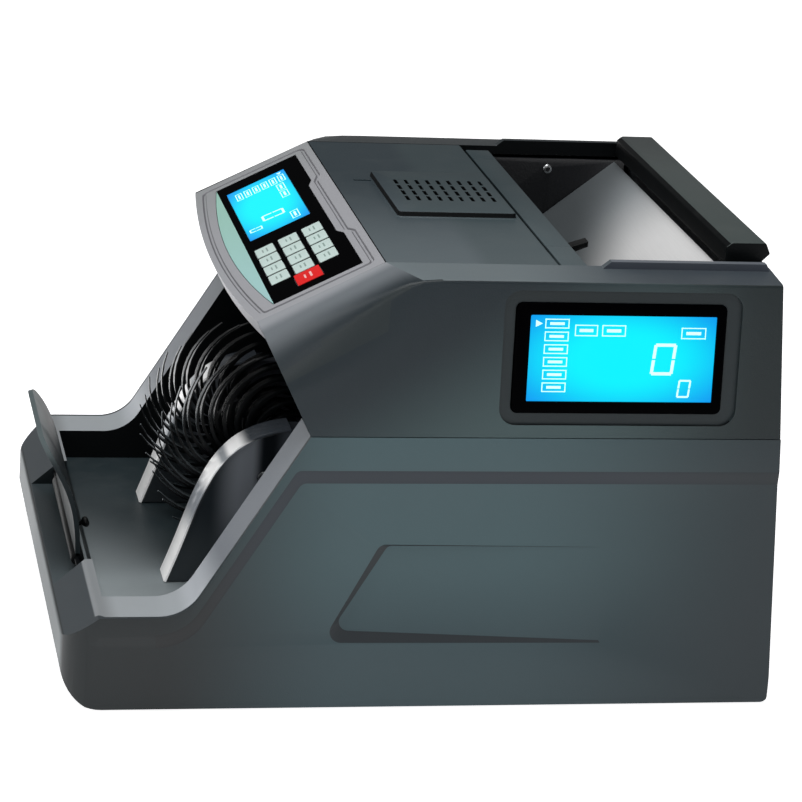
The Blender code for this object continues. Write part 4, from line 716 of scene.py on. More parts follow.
@dataclass(frozen=True)
class Screen(Finish):
    """A backlit display: bright cyan in its middle, deeper blue towards its rim."""

    rim_code: str = "0a6fe0"
    centre: Vector3 = (0.0, 0.0, 0.0)
    reach: Vector3 = (20.0, 20.0, 20.0)
    glow: float = 0.75

    def dress(self, graph: Graph, shader: Node) -> None:
        """Wire the glow: the share of the rim colour grows with the stretched distance from the centre."""
        moved = graph.node("VectorMath", operation="SUBTRACT")
        graph.feed(moved.inputs[0], graph.place())
        moved.inputs[1].default_value = self.centre
        stretched = graph.node("VectorMath", operation="MULTIPLY")
        graph.feed(stretched.inputs[0], moved.outputs[0])
        stretched.inputs[1].default_value = self.reach
        far = graph.node("VectorMath", operation="LENGTH")
        graph.feed(far.inputs[0], stretched.outputs[0])
        mask = graph.ramp(far.outputs["Value"], 0.35, 1.25)
        shade = graph.mix(mask, colour(self.code), colour(self.rim_code))
        graph.feed(shader.inputs["Emission Color"], shade)
        shader.inputs["Emission Strength"].default_value = self.glow
        graph.feed(shader.inputs["Base Color"], graph.mix(0.95, shade, colour("010203")))
        shader.inputs["Specular IOR Level"].default_value = 0.08
        cloud = graph.noise(graph.place(), 30.0, 4.0)
        smear = graph.ramp(cloud, 0.4, 0.8, self.roughness, self.roughness + 0.08)
        graph.feed(shader.inputs["Roughness"], smear)


@dataclass(frozen=True)
class Glow(Finish):
    """Lit marks on a display."""

    glow: float = 1.0

    def dress(self, graph: Graph, shader: Node) -> None:
        """Wire a lit colour that varies very slightly."""
        slow = graph.noise(graph.place(), 90.0, 2.0)
        shade = graph.mix(graph.ramp(slow, 0.3, 0.8, 0.0, 0.25), self.base(graph), colour("b8f4ff"))
        graph.feed(shader.inputs["Base Color"], shade)
        graph.feed(shader.inputs["Emission Color"], shade)
        shader.inputs["Emission Strength"].default_value = self.glow
        shader.inputs["Roughness"].default_value = self.roughness


@dataclass(frozen=True)
class Printed(Plastic):
    """A glossy printed film: one colour behind a straight line, another in front of it."""

    line_direction: Vector3 = (0.0, 1.0, 0.0)
    line_at: float = 0.0
    front_code: str = "a7cfce"

    def base(self, graph: Graph) -> Socket | tuple:
        """The two printed colours, parted where position along the direction passes the line."""
        reach = graph.along(graph.place(), self.line_direction)
        tint = graph.ramp(graph.along(graph.place(), (1.0, 0.0, 0.0)), -0.1, 0.1)
        front = graph.mix(tint, colour("a0cbbd"), colour(self.front_code))
        return graph.mix(graph.math("LESS_THAN", reach, self.line_at), colour(self.code), front)


@dataclass(frozen=True)
class Smoked(Finish):
    """Clear smoked plastic."""

    def dress(self, graph: Graph, shader: Node) -> None:
        """Wire a tinted, mostly clear body with faint handling marks."""
        place = graph.place()
        graph.feed(shader.inputs["Base Color"], self.base(graph))
        shader.inputs["Transmission Weight"].default_value = 0.06
        shader.inputs["Specular IOR Level"].default_value = 0.15
        shader.inputs["IOR"].default_value = 1.49
        cloud = graph.noise(place, 45.0, 5.0, 0.7)
        marks = graph.ramp(cloud, 0.45, 0.8, self.roughness, self.roughness + 0.15)
        graph.feed(shader.inputs["Roughness"], marks)


SIDE = (0.0, 0.0, 1.0)
# Direction of the painted pool of light on the tray.
TRAY_HIGHLIGHT = (0.72, -0.69, 0.0)
BACK = (0.0, 1.0, 0.0)
ACROSS = (1.0, 0.0, 0.0)
CORNER = (0.7071, -0.7071, 0.0)
DRAFT = (-0.9942, 0.0, -0.1071)

# Painted shade: darker towards the bottom, the rear and the front, with the front face painted lighter again.
LOWER_PLASTIC = Plastic("lower housing plastic", "4b6166", 0.42, (
    Fall(SIDE, 0.085, 0.025, "38484e", 0.8), Fall(BACK, 0.030, 0.175, "222c31", 0.95),
    Fall(BACK, -0.030, -0.130, "0d1619", 1.0), Fall(BACK, -0.1700, -0.1709, "485458", 0.9)))
# The rim is the housing plastic painted pale where it faces the lamps, with a painted highlight at the bend and
# painted shade along its outer edge and front corner.
RIM_LIT_PLASTIC = Plastic("rim plastic painted lit", "aab0b4", 0.38, (
    Fall(BACK, -0.118, -0.110, "c4c9cf", 0.9), Fall(BACK, -0.108, -0.097, "82878e", 1.0),
    Fall(SIDE, 0.105, 0.135, "8b9197", 0.8), Fall(BACK, -0.144, -0.153, "8c9093", 0.9),
    Fall(ACROSS, 0.1426, 0.1433, "30373b", 1.0, True), Fall(CORNER, 0.2082, 0.2090, "363d42", 1.0, True),
    Fall(BACK, -0.1558, -0.1566, "363e43")))
# Tray plastic with a painted pool of light towards the near front corner, and painted shade at its front edge.
TRAY_PLASTIC = Plastic("tray plastic", "2d383c", 0.40, (
    Fall(TRAY_HIGHLIGHT, 0.060, 0.185, "a9b2b5", 1.0), Fall(BACK, -0.148, -0.156, "3c464a", 0.9)))
# Painted shade on the sunk panels' downward-facing sloped edges, darker still towards the rear and the front.
EDGE_SHADE_PLASTIC = Plastic("sloped edge painted shade", "2c333b", 0.45, (
    Fall(BACK, 0.080, 0.170, "1d2529", 0.9), Fall(BACK, -0.070, -0.115, "0c1114", 1.0)))
# Lip sides, with painted shade making the far side darker.
LIP_PLASTIC = Plastic("lip plastic", "454b55", 0.42, (Fall(ACROSS, -0.05, -0.10, "1d2327", 1.0),))
# Near-black painted shade for inner walls, slot walls, the pad's flanks and the bar's ends, where shade falls.
SHADE_PLASTIC = Plastic("inner painted shade", "06090b", 0.55, shine=0.12)
# Painted light: lighter towards the front and top, darker at the rear, with painted highlights along the
# shoulders beside the fascia.
UPPER_PLASTIC = Plastic("upper housing plastic", "1c272d", 0.40, (
    Fall((0.0, 0.55, -0.83), -0.160, -0.096, "495b5d", 0.95), Fall(BACK, 0.060, 0.160, "11191c", 0.9),
    Fall(DRAFT, -0.1575, -0.1435, "6d7378", 1.0, True),
    Fall(DRAFT, -0.1430, -0.1365, "9fa2a7", 0.8, True)))
# The upper housing's upward faces painted lighter as lit from above, with painted shade at the rear and on the
# far side.
RAIL_LIT_PLASTIC = Plastic("rail plastic painted lit", "6d777b", 0.40, (
    Fall(BACK, 0.030, 0.110, "3d454c", 0.95), Fall(ACROSS, -0.09, -0.112, "2b3235", 1.0)))
# Fascia plastic, with painted shade towards the far side.
FASCIA_PLASTIC = Plastic("fascia plastic", "a7a8ad", 0.36, (
    Fall(ACROSS, -0.03, -0.115, "999d9e", 0.7),), grain=0.0004, depth=0.07)
# Painted shade in the groove round the printed panel.
GROOVE_SHADE_PLASTIC = Plastic("groove painted shade", "76767b", 0.45)
# Painted shade on the sloped rims of the wedge recesses.
RECESS_SHADE_PLASTIC = Plastic("recess edge painted shade", "1d2429", 0.45)
# Painted highlight on the lips' top faces, with painted shade on the far side.
LIP_TOP_HIGHLIGHT = Plastic("lip top painted highlight", "6a7078", 0.40, (Fall(ACROSS, -0.05, -0.10, "22292d", 1.0),))
# Painted shade on the walls of the recess round the side display.
RING_SHADE_PLASTIC = Plastic("display surround painted shade", "232c2f", 0.42)
# Cover plastic with painted light: lighter towards the near side and on the raised pad's top.
COVER_PLASTIC = Plastic("cover plastic", "26343b", 0.44, (
    Fall(ACROSS, -0.05, 0.118, "5d686d", 1.0), Fall((0.0, 0.15, 0.99), 0.2145, 0.2163, "3a4a4c", 0.4)))
# Bar plastic with painted shade towards the far side and on its lower part.
BAR_PLASTIC = Plastic("bar plastic", "434c4b", 0.38, (
    Fall(ACROSS, -0.02, -0.11, "333a3b", 0.8), Fall(SIDE, 0.2215, 0.2165, "0c1212", 1.0)))
BLACK_PLASTIC = Plastic("black plastic", "090b0c", 0.42, shine=0.15)
FAN_PLASTIC = Plastic("fan plastic", "0a0c0e", 0.35, (), grain=0.0009, depth=0.03, dust=0.0, shine=0.2)
# Painted sheen: the black fingers' broad faces painted grey, with painted shade towards the rear and lower down.
BLADE_SHEEN_PLASTIC = Plastic("blade painted sheen", "666e72", 0.26, (
    Fall(BACK, -0.102, -0.086, "0a0d0f"), Fall(SIDE, 0.075, 0.050, "30383c", 0.8)),
    grain=0.0009, depth=0.03, dust=0.0)
# Guide plastic with painted highlight and shade bands along its curve, and lower down.
GUIDE_PLASTIC = Plastic("guide plastic", "23292e", 0.30, (
    Fall(BACK, -0.094, -0.079, "7b8087", 1.0), Fall(BACK, -0.074, -0.068, "14181c", 1.0),
    Fall(BACK, -0.064, -0.056, "555a61", 0.9), Fall(SIDE, 0.075, 0.045, "3c4246", 0.8)), depth=0.03)
KEY_RUBBER = Plastic("key rubber", "cfe3de", 0.55, (), grain=0.0003, depth=0.10, dust=0.05)
RED_RUBBER = Plastic("red key rubber", "ee1212", 0.50, (), grain=0.0003, depth=0.10, dust=0.04,
                     dust_code="ff9a94")
KEY_PRINT = Plastic("key print", "93aaa4", 0.6, (), grain=0.0003)
RED_PRINT = Plastic("red key print", "ffc9c4", 0.6, (), grain=0.0003)
ROLLER_RUBBER = Plastic("roller rubber", "1a1a1b", 0.78, (), grain=0.0005, depth=0.35, dust=0.12)
FOOT_RUBBER = Plastic("foot rubber", "161616", 0.85, (), grain=0.0008, depth=0.3)
BOARD_LACQUER = Plastic("board lacquer", "12512c", 0.35, (Fall(BACK, 0.0, 0.07, "0e4325"),), coat=0.5)
FRAME_PAINT = Plastic("frame paint", "18191c", 0.48, (Fall(SIDE, 0.19, 0.14, "0d0e10"),),
                      grain=0.0010, depth=0.18)
BEZEL_GLOSS = Plastic("bezel gloss", "010102", 0.35, (), grain=0.0015, depth=0.01, dust=0.0, shine=0.01)
# Satin sheet with a painted sheen: bright on the near side, darker towards the far side and towards its lower
# edge.
SATIN_METAL = Metal("satin sheet", "ffffff", 0.42, (
    Fall(ACROSS, 0.02, -0.07, "a3a9ad"), Fall(ACROSS, -0.04, -0.11, "6a7073"),
    Fall((0.25, 0.97, 0.0), 0.124, 0.090, "5d6366", 1.0)), metallic=0.20, depth=0.05)
# Painted reflection: white, grey and dark bands up the strip, with a painted glow that brightens it.
POLISHED_METAL = Metal("polished strip", "ffffff", 0.22, (
    Fall(SIDE, 0.056, 0.072, "8d9298"), Fall(SIDE, 0.079, 0.088, "ffffff"),
    Fall(SIDE, 0.0945, 0.0975, "80868c", 0.9), Fall(SIDE, 0.0985, 0.1015, "ffffff"),
    Fall(SIDE, 0.1045, 0.1085, "3a3f45")), metallic=0.15, pitch=0.004, depth=0.0, painted_glow=0.22)
STEEL = Metal("turned steel", "9fa2a6", 0.28)
DARK_STEEL = Metal("blackened steel", "15181a", 0.45)
PLATE_STEEL = Metal("plated sheet", "8f9294", 0.40, pitch=0.0009)
SCREW_STEEL = Metal("screw steel", "c4c6c8", 0.25)
LIT_MARK = Glow("lit marks", "c4f6fc", 0.3, (), 0.75)
# Smoked plastic with a painted highlight along the plate's top edge.
SMOKED_PLASTIC = Smoked("smoked plastic", "1c2427", 0.42, (Fall(SIDE, 0.088, 0.100, "5f6a6c"),))


def dressed(piece: Piece, finish: Finish, body: str, slot: str, *nodes: str) -> Piece:
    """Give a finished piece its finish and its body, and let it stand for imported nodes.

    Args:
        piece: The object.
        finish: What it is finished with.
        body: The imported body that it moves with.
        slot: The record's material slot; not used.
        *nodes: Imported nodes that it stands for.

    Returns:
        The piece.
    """
    if finish.material().name not in piece.data.materials:
        piece.data.materials.clear()
        piece.data.materials.append(finish.material())
    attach(piece, body)
    if nodes:
        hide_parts(*nodes)
    LOG.info("%s rides on %s", piece.name, body)
    return piece


# Shared sizes of the machine

@dataclass(frozen=True)
class Machine:
    """Sizes that more than one sub-assembly needs."""

    half_width: float = 0.145
    front: float = -0.171
    rear: float = 0.176
    bottom: float = 0.004
    skirt: float = 0.0012
    seam: float = 0.1384
    rim: float = 0.0485
    rim_bend: float = -0.1146
    seam_front: float = -0.0608
    rear_seam: float = 0.166
    rear_top: float = 0.1615
    top: float = 0.2143
    side_top: float = 0.2127
    side_top_x: float = 0.137
    rail_x: float = 0.1145
    fascia_front: Span = (-0.084, 0.1842)
    fascia_rear: float = -0.0253
    wall: float = 0.003

    def slope(self) -> float:
        """Angle of the fascia."""
        return math.atan2(self.top - self.fascia_front[1], self.fascia_rear - self.fascia_front[0])

    def fascia_matrix(self) -> Matrix:
        """From (x, up the slope, out of the face) to the world."""
        return Matrix.Translation((0, *self.fascia_front)) @ Matrix.Rotation(self.slope(), 4, "X")

    def fascia_length(self) -> float:
        """Length of the fascia up its slope."""
        return math.hypot(self.top - self.fascia_front[1], self.fascia_rear - self.fascia_front[0])

    def side_matrix(self) -> Matrix:
        """From (y, up the side, out of the side) on the right to the world."""
        tilt = math.atan2(self.half_width - self.side_top_x, self.side_top - self.seam)
        c, s = math.cos(tilt), math.sin(tilt)
        return Matrix(((0, -s, c, self.half_width), (1, 0, 0, 0), (0, c, s, self.seam), (0, 0, 0, 1)))


MACHINE = Machine()


@dataclass
class LowerHousing:
    """The lower housing: tray, rim painted pale where it is lit, belt round the seam, sunk side panels and wedge
    recesses.
    """

    rim_width: float = 0.027
    rim_setback: float = 0.0165
    front_rim: float = 0.0035
    face_top: float = 0.034
    floor: float = 0.033
    tray_wall: float = 0.050
    bay_front: float = -0.027
    bay_wall: float = 0.006
    panel_depth: float = 0.002
    notch: Span = (-0.070, 0.070)
    notch_floor: float = 0.0355
    outer_margins: Vector3 = (0.0164, 0.0040, 0.0085)
    inner_margins: Vector3 = (0.0234, 0.0100, 0.0160)

    def side_outline(self) -> Array:
        """The housing seen from the side, with the toe, the rim's bend and the heel rounded."""
        m = MACHINE
        lean = 0.010 * (m.seam - m.bottom) / m.seam
        corners = [(m.front, m.skirt), (m.front, self.face_top), (m.front + self.rim_setback, m.rim),
                   (m.rim_bend, m.rim), (m.seam_front, m.seam), (m.rear - lean, m.seam), (m.rear, m.skirt)]
        return fillet(corners, [0.019, 0.004, 0.0022, 0.022, 0.0, 0.0, 0.004], 12)

    def panel_outline(self, margins: Vector3) -> Array:
        """The sunk panel's edge at stated margins from the seam, the slope and the rim."""
        m = MACHINE
        seam, slope, rim = margins
        angle = math.atan2(m.seam - m.rim, m.seam_front - m.rim_bend)
        offset = slope / math.sin(angle)
        low, high = m.rim - rim, m.seam - seam
        bend = m.rim_bend - rim / math.tan(angle) + offset
        top = m.seam_front - seam / math.tan(angle) + offset
        corners = [(-0.20, -0.02), (-0.20, low + 0.014), (-0.1717, low + 0.0052), (-0.154, low), (bend, low),
                   (top, high), (0.20, high), (0.20, -0.02)]
        return fillet(corners, [0, 0, 0, 0.010, 0.020 + rim * 0.4, 0.004, 0, 0], 8)

    def panel_cutter(self, side: int) -> Piece:
        """A cutter with a sloped edge: its margins grow evenly with its depth."""
        share = np.linspace(0, 1, 5)[::-1]
        depth = MACHINE.half_width - self.panel_depth * share
        outer, inner = np.array(self.outer_margins), np.array(self.inner_margins)
        rings = [self.panel_outline(tuple(outer + (inner - outer) * s)) for s in share]
        rings.append(rings[-1])
        x = np.append(depth, MACHINE.half_width + 0.004) * side
        flat = np.stack(rings)
        across = np.broadcast_to(x[:, None, None], flat.shape[:2] + (1,))
        return loft("panel cutter", np.concatenate([across, flat], 2))

    def wedge_cutter(self, side: int) -> Piece:
        """A recess that is deepest in front and fades out linearly towards the rear, with a sloped rim."""
        face = MACHINE.half_width - self.panel_depth
        outline = fillet([(-0.0490, 0.0345), (0.088, 0.0335), (0.088, 0.0845), (-0.0240, 0.0845)],
                         [0.006, 0, 0, 0.005], 8)
        fade = np.clip((0.088 - outline[:, 0]) / 0.137, 0, 1)
        small = inset(outline, 0.0014)
        small[:, 1] += 0.0042 * fade * (outline[:, 1] < 0.06)
        small[:, 0] += 0.0032 * (fade > 0.78)
        deep = np.column_stack([side * (face - 0.0026 * fade), small])
        level = np.column_stack([np.full(len(outline), side * (face + 0.00001)), outline])
        clear = np.column_stack([np.full(len(outline), side * (face + 0.004)), inset(outline, -0.003)])
        return loft("wedge cutter", np.stack([deep, level, clear]))

    def build(self) -> None:
        """Make the housing from the same outlines as its solid, with finer curves, and paint light and shade onto
        its parts.
        """
        m = MACHINE
        body = carried("housing_lower", self.side_outline(), Axis.X, -m.half_width, m.half_width)
        plan = rectangle((-m.half_width, m.half_width), (m.front, m.rear))
        plan = fillet(plan, [0.020, 0.020, 0.005, 0.005], 10)
        combine(body, carried("plan", plan, Axis.Z, -0.02, m.seam + 0.02), "INTERSECT")
        for side in (1, -1):
            cut(body, self.panel_cutter(side), self.wedge_cutter(side))
        self.hollow(body)
        dressed(body, LOWER_PLASTIC, "body", "housing", "lower_housing")
        self.paint_light_and_shade(body)
        softened(body, 0.0009, 3)

    def hollow(self, body: Piece) -> None:
        """Cut the tray, the mechanism bay, the space under the tray, the notch and the inlet."""
        m = MACHINE
        inner_front = m.front + self.rim_setback + self.front_rim
        half = m.half_width - self.rim_width
        tray = fillet([(inner_front, self.floor), (self.bay_front, self.floor),
                       (self.bay_front, self.tray_wall), (0.0, self.tray_wall), (0.0, 0.2), (inner_front, 0.2)],
                      [0.006, 0, 0, 0, 0, 0], 8)
        inner = m.half_width - self.bay_wall
        ahead, low, high = self.bay_front + m.wall, m.rear - m.wall, m.rear_seam - m.wall
        bay = np.array([(ahead, -0.02), (low, -0.02), (low, m.bottom), (high, m.seam), (high, 0.2), (ahead, 0.2)])
        under = rectangle((-0.147, self.bay_front + m.wall * 2), (-0.02, self.floor - m.wall))
        notch = rectangle((-0.2, -0.135), (self.notch_floor, 0.08))
        cut(body, carried("tray", tray, Axis.X, -half, half), carried("bay", bay, Axis.X, -inner, inner),
            carried("under", under, Axis.X, -inner, inner), carried("notch", notch, Axis.X, *self.notch))
        flange = carried("flange", rectangle((0.0367, 0.1113), (0.0267, 0.0613)), Axis.Y, 0.168, 0.2)
        hole = carried("hole", rectangle((0.0397, 0.1083), (0.0297, 0.0583)), Axis.Y, 0.15, 0.2)
        cut(body, flange, hole)

    def paint_light_and_shade(self, body: Piece) -> None:
        """Paint light and shade: the rim painted pale as lit, a painted pool of light on the tray, and painted
        shade on the inner walls and on the sloped edges of the panels and recesses.
        """
        centre, normal = face_arrays(body)
        x, y, z = np.abs(centre[:, 0]), centre[:, 1], centre[:, 2]
        nx, up = np.abs(normal[:, 0]), normal[:, 2]
        # Painted light: the rim's upward faces painted pale; the tray's finish carries a painted pool of light.
        paint(body, RIM_LIT_PLASTIC, (up > 0.28) & (y < -0.055) & (z > 0.036))
        paint(body, TRAY_PLASTIC, (up > 0.9) & (z < 0.0365) & (z > 0.032) & (x < 0.119))
        # Painted shade on the inner walls and on the walls behind the tray.
        inwards = (centre[:, 0] * normal[:, 0] < -0.01) & (x > 0.1)
        behind = (y > -0.03) & (x < 0.1389) & (y < 0.1735)
        paint(body, SHADE_PLASTIC, (inwards | behind) & (np.abs(up) < 0.9))
        # Painted shade on the sloped edges of the sunk panels and of the wedge recesses.
        edge = (nx > 0.9) & (nx < 0.985) & (x > 0.1431) & (x < 0.1449) & (y > -0.140)
        slope = (nx < 0.985) & (x > 0.1400) & (x < 0.1430) & (y > -0.052) & (y < 0.0879)
        slope = slope & (z > 0.03) & (z < 0.09)
        outwards = centre[:, 0] * normal[:, 0] > 0
        paint(body, EDGE_SHADE_PLASTIC, edge & outwards)
        paint(body, RECESS_SHADE_PLASTIC, slope & outwards)


@dataclass
class UpperHousing:
    """The upper housing: drafted sides, rounded shoulders beside the fascia, rails and their raised lips."""

    shares: tuple[Span, Span] = ((0.08, 0.54), (0.36, 0.865))
    mid_share: float = 0.75
    front_softness: float = 0.013
    rear_softness: float = 0.0016
    hopper_rear: float = 0.150
    steps: int = 17
    easing: int = 2

    def polygons(self, shrink: float, drop: float) -> Array:
        """Control points of the right half: (stations, 4, 3) from the front edge to the rear wall.

        Args:
            shrink: How far the sides and the rear lie in.
            drop: How far the top lies down.

        Returns:
            Seam, middle, shoulder and rail points of each station.
        """
        m = MACHINE
        seam = m.seam + 0.0004
        share = np.array([(0.0, 0.0), *self.shares, (1.0, 1.0)])
        front = np.column_stack([m.half_width + (m.rail_x - m.half_width) * share[:, 0],
                                 m.seam_front + (m.fascia_front[0] - m.seam_front) * share[:, 1],
                                 seam + (m.fascia_front[1] - m.seam) * share[:, 1]])
        middle = np.array([(m.half_width, m.fascia_rear, seam), (0, 0, 0),
                           (m.side_top_x, m.fascia_rear + 0.012, m.side_top),
                           (m.rail_x, m.fascia_rear, m.top)])
        rear = np.array([(m.half_width, m.rear_seam, seam), (0, 0, 0),
                         (m.side_top_x, m.rear_top, m.side_top), (m.rail_x, m.rear_top, m.top)])
        for ring in (middle, rear):
            ring[1] = ring[0] + (ring[2] - ring[0]) * self.mid_share
        t = np.linspace(0, 1, self.steps)[:, None, None]
        stations = np.concatenate([front + (middle - front) * t, middle + (rear - middle) * t[1:]])
        for _ in range(self.easing):
            stations[1:-1, 1:3] = (stations[:-2, 1:3] + 2 * stations[1:-1, 1:3] + stations[2:, 1:3]) / 4
        stations[:, :, 0] -= shrink
        stations[:, 2:, 2] -= drop
        stations[-1, :, 1] -= shrink
        return stations

    def skin(self, name: str, shrink: float, drop: float, reach: float) -> Piece:
        """Loft the shell's outer or inner surface.

        Between the seam and the rail each station runs straight to the shoulder, rounds it with a
        quadratic curve whose control point is the shoulder itself, and runs straight on.

        Args:
            name: Name of the object.
            shrink: How far the sides lie in.
            drop: How far the top lies down.
            reach: How far the open front and bottom are carried on.

        Returns:
            The closed body.
        """
        p = self.polygons(shrink, drop)
        easing = np.linspace(self.front_softness, self.rear_softness, self.steps)
        soft = np.concatenate([easing, np.full(self.steps - 1, self.rear_softness)])
        soft = soft[:, None, None]
        back = unit(p[:, 1:2] - p[:, 2:3]) * soft
        on = unit(p[:, 3:4] - p[:, 2:3]) * soft
        start, end = p[:, 2:3] + back, p[:, 2:3] + on
        s = np.linspace(0, 1, 9)[None, :, None]
        curve = start * (1 - s) ** 2 + p[:, 2:3] * 2 * s * (1 - s) + end * s**2
        side_share = np.linspace(0, 1, 5)[None, :, None]
        side = p[:, 0:1] + (p[:, 1:2] - p[:, 0:1]) * side_share
        half = np.concatenate([side, curve, p[:, 3:4]], 1)
        if reach:
            half[:, 0, 2] -= reach
            half[0, :, 1] -= reach
            half[0, 1:, 2] -= reach * 0.5
        mirror = half[:, ::-1] * np.array([-1, 1, 1])
        return loft(name, np.concatenate([half, mirror], 1))

    def build(self) -> None:
        """Make the shell, its opening, lips, hinge holes and display recess."""
        m = MACHINE
        body = self.skin("housing_upper", 0.0, 0.0, 0.0)
        cut(body, self.skin("inside", m.wall, 0.0042, 0.02))
        opening = rectangle((-0.2, self.hopper_rear), (0.13, 0.25))
        cut(body, carried("opening", opening, Axis.X, -m.rail_x, m.rail_x))
        for side in (1, -1):
            join(body, self.lip(side))
            span = ordered(side * 0.111, side * 0.118)
            cut(body, carried("hole", circle((0.0568, 0.2125), 0.0011, 12), Axis.X, *span))
        recess = fillet(rectangle((0.0275, 0.1425), (0.0065, 0.0705)), 0.008, 10)
        window = fillet(rectangle((0.0331, 0.1355), (0.0119, 0.0648)), 0.0033, 6)
        cut(body, placed(carried("recess", recess, Axis.Z, -0.0018, 0.02), m.side_matrix()),
            placed(carried("window", window, Axis.Z, -0.02, 0.02), m.side_matrix()))
        dressed(body, UPPER_PLASTIC, "body", "upper", "upper_housing")
        centre, normal = face_arrays(body)
        # Painted light and shade: rails' upward faces lit, lips' sides shaded on the far side, a highlight on the
        # lip tops, shade on the inner faces and round the display recess.
        paint(body, RAIL_LIT_PLASTIC, (centre[:, 2] > 0.2125) & (normal[:, 2] > 0.5))
        paint(body, LIP_PLASTIC, (centre[:, 2] > 0.2140) & (np.abs(normal[:, 0]) > 0.5))
        paint(body, LIP_TOP_HIGHLIGHT, (centre[:, 2] > 0.2165) & (normal[:, 2] > 0.5))
        paint(body, SHADE_PLASTIC, (centre[:, 0] * normal[:, 0] < -0.01) & (np.abs(centre[:, 0]) > 0.1))
        side_face = m.side_matrix()
        local = centre @ np.array(side_face.to_3x3()) + np.array(side_face.inverted().translation)
        ring = (centre[:, 0] > 0.13) & (normal[:, 0] > 0.5)
        ring = ring & (local[:, 2] < -0.0005) & (local[:, 2] > -0.0024)
        paint(body, RING_SHADE_PLASTIC, ring)
        softened(body, 0.0006, 3, 32)

    def lip(self, side: int) -> Piece:
        """The raised lip along one rail, with sloped ends."""
        low, high = 0.2122, 0.2175
        outline = np.array([(0.0784, low), (0.158, low), (0.161, low), (0.1585, high), (0.0822, high),
                            (0.0784, low + 0.0022)])
        x = MACHINE.rail_x
        return carried("lip", outline, Axis.X, *ordered(side * x, side * (x + 0.004)))


@dataclass
class Display:
    """A display's marks on its own flat sheet: outline boxes, bars, an arrow and plain numbers."""

    width: float
    height: float
    stroke: float = 0.00045

    def bars(self, rows: list[tuple[float, float, float, float]]) -> Array:
        """Flat bars from (left, low, right, high) rows in shares of the sheet, as (n, 4, 2) corners."""
        box = np.asarray(rows, float) * np.array([self.width, self.height, self.width, self.height])
        left, low, right, high = box.T
        return np.stack([np.stack([left, low], 1), np.stack([right, low], 1), np.stack([right, high], 1),
                         np.stack([left, high], 1)], 1)

    def frames(self, rows: list[tuple[float, float, float, float]]) -> Array:
        """Outline boxes: each box gives four thin bars, one along each side, and one bar in its middle."""
        box = np.asarray(rows, float)
        across, up = self.stroke / self.width, self.stroke / self.height
        left, low, right, high = box.T
        parts = [(left, low, right, low + up), (left, high - up, right, high),
                 (left, low, left + across, high), (right - across, low, right, high)]
        middle, reach, margin = (low + high) / 2, (high - low) * 0.14, (right - left) * 0.2
        parts.append((left + margin, middle - reach, right - margin, middle + reach))
        return self.bars(np.concatenate([np.stack(p, 1) for p in parts]))

    def zero(self, centre: Span, size: Span, slant: float = 0.10) -> Array:
        """A plain number nought of six slanted segments, each a bar with a small gap at its ends.

        Args:
            centre: Middle of the number, in shares of the sheet.
            size: Its width and height in metres.
            slant: How far its top leans right for each unit of height.

        Returns:
            (6, 4, 2) corners in metres.
        """
        w, h, t, gap = size[0] / 2, size[1] / 2, size[1] * 0.10, size[1] * 0.025
        bars = np.array([(-w + t / 2, h - t, w - t / 2, h), (-w + t / 2, -h, w - t / 2, -h + t),
                         (-w, gap, -w + t, h - t / 2), (w - t, gap, w, h - t / 2),
                         (-w, -h + t / 2, -w + t, -gap), (w - t, -h + t / 2, w, -gap)])
        left, low, right, high = bars.T
        corners = np.stack([np.stack([left, low], 1), np.stack([right, low], 1), np.stack([right, high], 1),
                            np.stack([left, high], 1)], 1)
        corners[:, :, 0] += corners[:, :, 1] * slant
        return corners + np.array([centre[0] * self.width, centre[1] * self.height])

    def sheet(self, name: str, quads: Array, matrix: Matrix) -> Piece:
        """Turn flat quads into thin raised marks.

        Args:
            name: Name of the object.
            quads: (n, 4, 2) corners on the sheet.
            matrix: From the sheet to the world.

        Returns:
            The marks as one object.
        """
        levels = np.array([0.0, 0.00006])
        flat = np.broadcast_to(quads[:, None], (len(quads), 2, 4, 2))
        height = np.broadcast_to(levels[None, :, None, None], flat.shape[:3] + (1,))
        return placed(loft(name, np.concatenate([flat, height], 3)), matrix)

    def layout(self) -> Array:
        """All marks of one display: a column of boxes, an arrow, three boxes on top, and two noughts."""
        column = [(0.080, 0.845 - 0.147 * i, 0.208, 0.955 - 0.147 * i) for i in range(6)]
        top = [(0.240, 0.76, 0.362, 0.89), (0.385, 0.76, 0.512, 0.89), (0.812, 0.74, 0.945, 0.87)]
        point = np.array([(0.030, 0.860), (0.066, 0.899), (0.066, 0.901), (0.030, 0.940)])
        arrow = (point * np.array([self.width, self.height]))[None]
        big = self.zero((0.725, 0.50), (self.height * 0.27, self.height * 0.37))
        small = self.zero((0.845, 0.16), (self.height * 0.15, self.height * 0.21))
        return np.concatenate([self.frames(column), self.frames(top), arrow, big, small])


